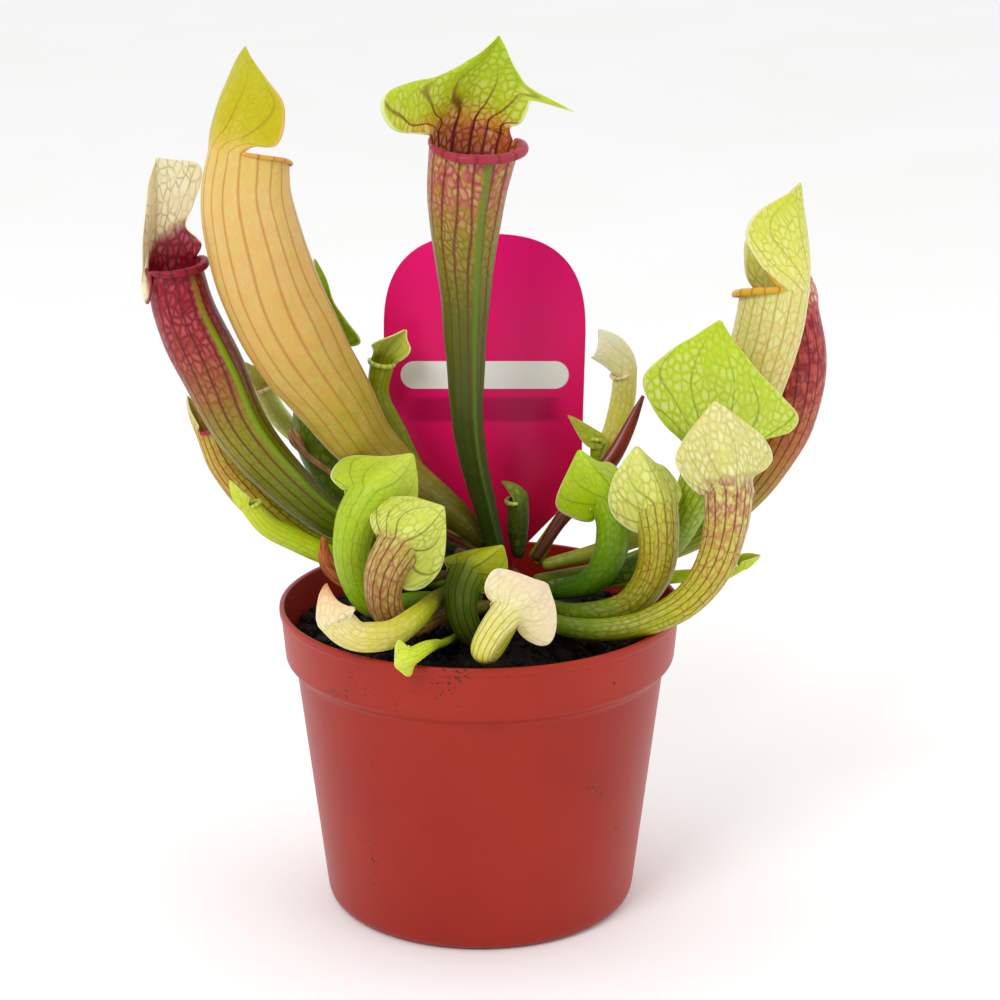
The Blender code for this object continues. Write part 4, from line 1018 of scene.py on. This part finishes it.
dirt = add("Math", speck, soiled, operation="ADD")
dirty = between(add, dirt, *SPECK_LIMIT)
brown = add("ValToRGB", patch, stops="0.3 2A1008, 0.7 4A1E12")
ripple = add("Mapping", Vector=coordinates, Scale=(60, 60, 18))
waves = add("TexNoise", Vector=ripple, Scale=1, Detail=3)
relief = add("Math", dirty, 0.3, waves, operation="MULTIPLY_ADD")
link(shader, Base_Color=add("MixRGB", dirty, red, brown),
     Roughness=add("MapRange", cloudy, 0, 1, 0.3, 0.46),
     Normal=add("Bump", Height=relief, Strength=0.4, Distance=0.4 * MM))
pot.data.materials.clear()
pot.data.materials.append(plastic)
print("specks of about", round(1 / SPECK_SCALE / MM / 2, 1), "mm")

# %% [markdown]
# ## The peat
# Pitcher plants grow in peat, black when damp, with crumbs and short fibres. A turned body fills the pot.
# Its top is cut fine and raised by noise, and about a thousand crumbs and fibres lie on it, each with only
# a few faces. The places come from a seeded generator, so they are the same every time.

# %% Peat
SOIL_EDGE = 61.5
SOIL_MOUND = 63.8
SOIL_RADIUS = 43
LUMPS_UNTIL = 39
LUMP_HEIGHT = 1.3
CLEAR = WALL + 0.3
rng = np.random.default_rng(7)


def soil_height(radius):
    return SOIL_EDGE + (SOIL_MOUND - SOIL_EDGE) * cos(pi / 2 * radius / SOIL_RADIUS)


soil_profile = [(0, SOIL_MOUND)] + [(radius, soil_height(radius)) for radius in np.arange(0.8, 42.4, 0.8)]
soil_profile += [(COLLAR_FOOT_RADIUS - CLEAR, COLLAR_FOOT + 1.4), (BODY_TOP_RADIUS - CLEAR, COLLAR_FOOT - 2),
                 (body_radius(6) - CLEAR, 6), (body_radius(2) - CLEAR - 5, FLOOR + 0.3), (0, FLOOR + 0.3)]
bm = spin_profile(soil_profile, 180)
for vert in bm.verts:
    x, y, z = vert.co / MM
    if z > SOIL_EDGE - 0.1:
        inside = 1 - smoothstep((np.hypot(x, y) - LUMPS_UNTIL) / 3)
        lumps = noise.noise(Vector((x, y, 0)) / 5) + 0.5 * noise.noise(Vector((x, y, 9)) / 1.6)
        vert.co.z += LUMP_HEIGHT * inside * lumps * MM

# %% Crumbs and fibres
CRUMBS = 900
FIBRES = 120
STREWN_RADIUS = 41
for i in range(CRUMBS + FIBRES):
    radius = STREWN_RADIUS * np.sqrt(rng.random())
    turn = rng.random() * 2 * pi
    x, y = radius * cos(turn), radius * sin(turn)
    size = rng.uniform(0.35, 1.5) * (1 if rng.random() < 0.85 else 1.7)
    tilt = Matrix.Rotation(rng.random() * 2 * pi, 4, "Z") @ Matrix.Rotation(rng.uniform(-0.5, 0.5), 4, "X")
    if i < CRUMBS:
        made = bmesh.ops.create_icosphere(bm, subdivisions=1, radius=size * MM)["verts"]
        stretch = rng.uniform(0.6, 1.2, 3)
        bmesh.ops.scale(bm, vec=stretch, verts=made)
    else:
        made = bmesh.ops.create_cone(bm, cap_ends=True, segments=5, radius1=0.18 * MM, radius2=0.08 * MM,
                                     depth=rng.uniform(3, 9) * MM)["verts"]
        tilt = tilt @ Matrix.Rotation(pi / 2, 4, "X")
    place = Matrix.Translation(Vector((x, y, soil_height(np.hypot(x, y)) + 0.3)) * MM)
    bmesh.ops.transform(bm, matrix=place @ tilt, verts=made)
peat_body = finish_mesh(bm, "peat_fill")
peat_body.data.set_sharp_from_angle(angle=radians(50))
stand_for(peat_body, "growing_medium")
print("peat", len(peat_body.data.polygons), "faces with", CRUMBS, "crumbs and", FIBRES, "fibres")

# %% Damp peat
GRAIN_SCALE = 900             # per metre
peat, add, shader = new_material("damp_peat", 0.9, Specular_IOR_Level=0.2)
coordinates = add("TexCoord").node.outputs["Object"]
grains = add("TexVoronoi", Vector=coordinates, Scale=GRAIN_SCALE)
clods = add("TexNoise", Vector=coordinates, Scale=160, Detail=6)
colour = add("ValToRGB", clods, stops="0.3 060302, 0.55 120B07, 0.72 281A12")
colour = add("MixRGB", 0.35, colour, grains.node.outputs["Color"], blend_type="SOFT_LIGHT")
relief = add("Math", grains, 0.5, clods, operation="MULTIPLY_ADD")
link(shader, Base_Color=colour, Roughness=add("MapRange", clods, 0, 1, 0.6, 1),
     Normal=add("Bump", Height=relief, Strength=0.8, Distance=0.5 * MM))
peat_body.data.materials.append(peat)
print("peat grains of about", round(1 / GRAIN_SCALE / MM, 1), "mm")

# %% [markdown]
# ## The label
# The label is a card of printed plastic, 0.6 mm thick, with a long spike that goes into the peat. Its top
# is an arch, a little fuller than a half circle. The outline is one face, drawn out to the card's
# thickness, with its edges eased. The printing stays plain: a white strip to write on, with round ends,
# and a soft darker band under it.

# %% Label card
CARD_WIDTH = 46
CARD_TOP = 148.5
CARD_SHOULDER = 87
SPIKE_WIDTH = 11
SPIKE_TIP = 34
CARD_THICKNESS = 0.6
LABEL_PLACE = Vector((1, 21.5, 62))
LABEL_LEAN = 3
ARCH_FULLNESS = 0.75
EASED = 0.12

half = CARD_WIDTH / 2
narrow = SPIKE_WIDTH / 2
arch = [(half * cos(turn) ** ARCH_FULLNESS, CARD_TOP - half * (1 - sin(turn) ** ARCH_FULLNESS))
        for turn in np.linspace(0, pi / 2, 32)]
right = [(0.8, SPIKE_TIP), (narrow, SPIKE_TIP + 14), (narrow, CARD_SHOULDER - 20),
         (narrow + 1.2, CARD_SHOULDER - 15), (narrow + 4, CARD_SHOULDER - 11), (half - 3, CARD_SHOULDER),
         (half - 0.8, CARD_SHOULDER + 4), *arch]
outline = right + [(-x, z) for x, z in reversed(right[:-1])]
bm = bmesh.new()
sheet = bm.faces.new([bm.verts.new((x * MM, -CARD_THICKNESS / 2 * MM, (z - LABEL_PLACE.z) * MM))
                      for x, z in outline])
thick = bmesh.ops.extrude_face_region(bm, geom=[sheet])["geom"]
back = [vert for vert in thick if isinstance(vert, bmesh.types.BMVert)]
bmesh.ops.translate(bm, vec=(0, CARD_THICKNESS * MM, 0), verts=back)
bmesh.ops.recalc_face_normals(bm, faces=bm.faces)
rims = [edge for edge in bm.edges if len({round(vert.co.y, 6) for vert in edge.verts}) == 1]
bmesh.ops.bevel(bm, geom=rims, offset=EASED * MM, affect="EDGES", segments=2, profile=0.5, material=-1)
for face in bm.faces:
    face.material_index = 1 if abs(face.normal.y) < 0.9 else 0
stand = Matrix.Translation(LABEL_PLACE * MM) @ Matrix.Rotation(radians(-LABEL_LEAN), 4, "X")
bmesh.ops.transform(bm, matrix=stand, verts=bm.verts)
label = finish_mesh(bm, "label_card")
label.data.set_sharp_from_angle(angle=radians(40))
stand_for(label, "plant_label")
print("label", [round(value / MM, 1) for value in label.dimensions], "mm")

# %% [markdown]
# ### Printed plastic
# The card is white polystyrene, and its thin cut edge picks up a little of the ink's pink. The print is
# a smooth magenta that deepens to dark red at the foot. Printing inks give the eye a flat, even colour
# with a slight gloss, and up close the grain of a tint, drawn here as coarse as it needs to show.

# %% Label print
STRIP_HEIGHT = 116
STRIP_HALF_LENGTH = 16
STRIP_RADIUS = 3.2
SOFT = 0.08                   # millimetres over which the strip's outline fades
BAND_BELOW = 8
BAND_EDGE = (3.5, 2)          # millimetres from the band's middle line, where it begins and is full
BAND_ENDS = (19, 14)
BAND_STRENGTH = 0.7
DOT_SCALE = 2500              # per metre
SAW_SCALE = 900
printed, add, shader = new_material("printed_polystyrene", 0.3, IOR=1.55, Specular_IOR_Level=0.15)
coordinates = add("TexCoord").node.outputs["Object"]
across, _, up = add("SeparateXYZ", coordinates).node.outputs
dots = add("TexNoise", Vector=coordinates, Scale=DOT_SCALE, Detail=1)
ramp_height = add("MapRange", up, LABEL_PLACE.z * MM, CARD_TOP * MM)
ink = add("ValToRGB", ramp_height, stops="0 B00C24, 0.25 E0124A, 0.5 F0146A, 1 E80A72")
ink = add("MixRGB", 0.12, ink, dots, blend_type="SOFT_LIGHT")
off_centre = add("Math", across, LABEL_PLACE.x * MM, operation="SUBTRACT")
off_centre = add("Math", off_centre, operation="ABSOLUTE")
beyond = add("Math", off_centre, STRIP_HALF_LENGTH * MM, operation="SUBTRACT", use_clamp=True)
above = add("Math", up, STRIP_HEIGHT * MM, operation="SUBTRACT")
to_strip = add("VectorMath", add("CombineXYZ", beyond, above), operation="LENGTH").node.outputs["Value"]
band_above = add("Math", up, (STRIP_HEIGHT - BAND_BELOW) * MM, operation="SUBTRACT")
band_above = add("Math", band_above, operation="ABSOLUTE")
in_band = add("Math", between(add, band_above, BAND_EDGE[0] * MM, BAND_EDGE[1] * MM),
              between(add, off_centre, BAND_ENDS[0] * MM, BAND_ENDS[1] * MM), operation="MULTIPLY")
in_band = add("Math", in_band, BAND_STRENGTH, operation="MULTIPLY")
ink = add("MixRGB", in_band, ink, linear("A80A48"))
in_strip = between(add, to_strip, (STRIP_RADIUS + SOFT) * MM, (STRIP_RADIUS - SOFT) * MM)
link(shader, Base_Color=add("MixRGB", in_strip, ink, linear("FAF8F6")),
     Normal=add("Bump", Height=dots, Strength=0.15, Distance=0.05 * MM))
cut_edge, add, shader = new_material("cut_polystyrene_edge", 0.45, IOR=1.55)
saw = add("TexNoise", Vector=add("TexCoord").node.outputs["Object"], Scale=SAW_SCALE)
link(shader, Base_Color=add("ValToRGB", saw, stops="0.3 E4A8C0, 0.7 F4D8E4"))
label.data.materials.append(printed)
label.data.materials.append(cut_edge)
print("write-on strip", 2 * (STRIP_HALF_LENGTH + STRIP_RADIUS), "by", 2 * STRIP_RADIUS, "mm")
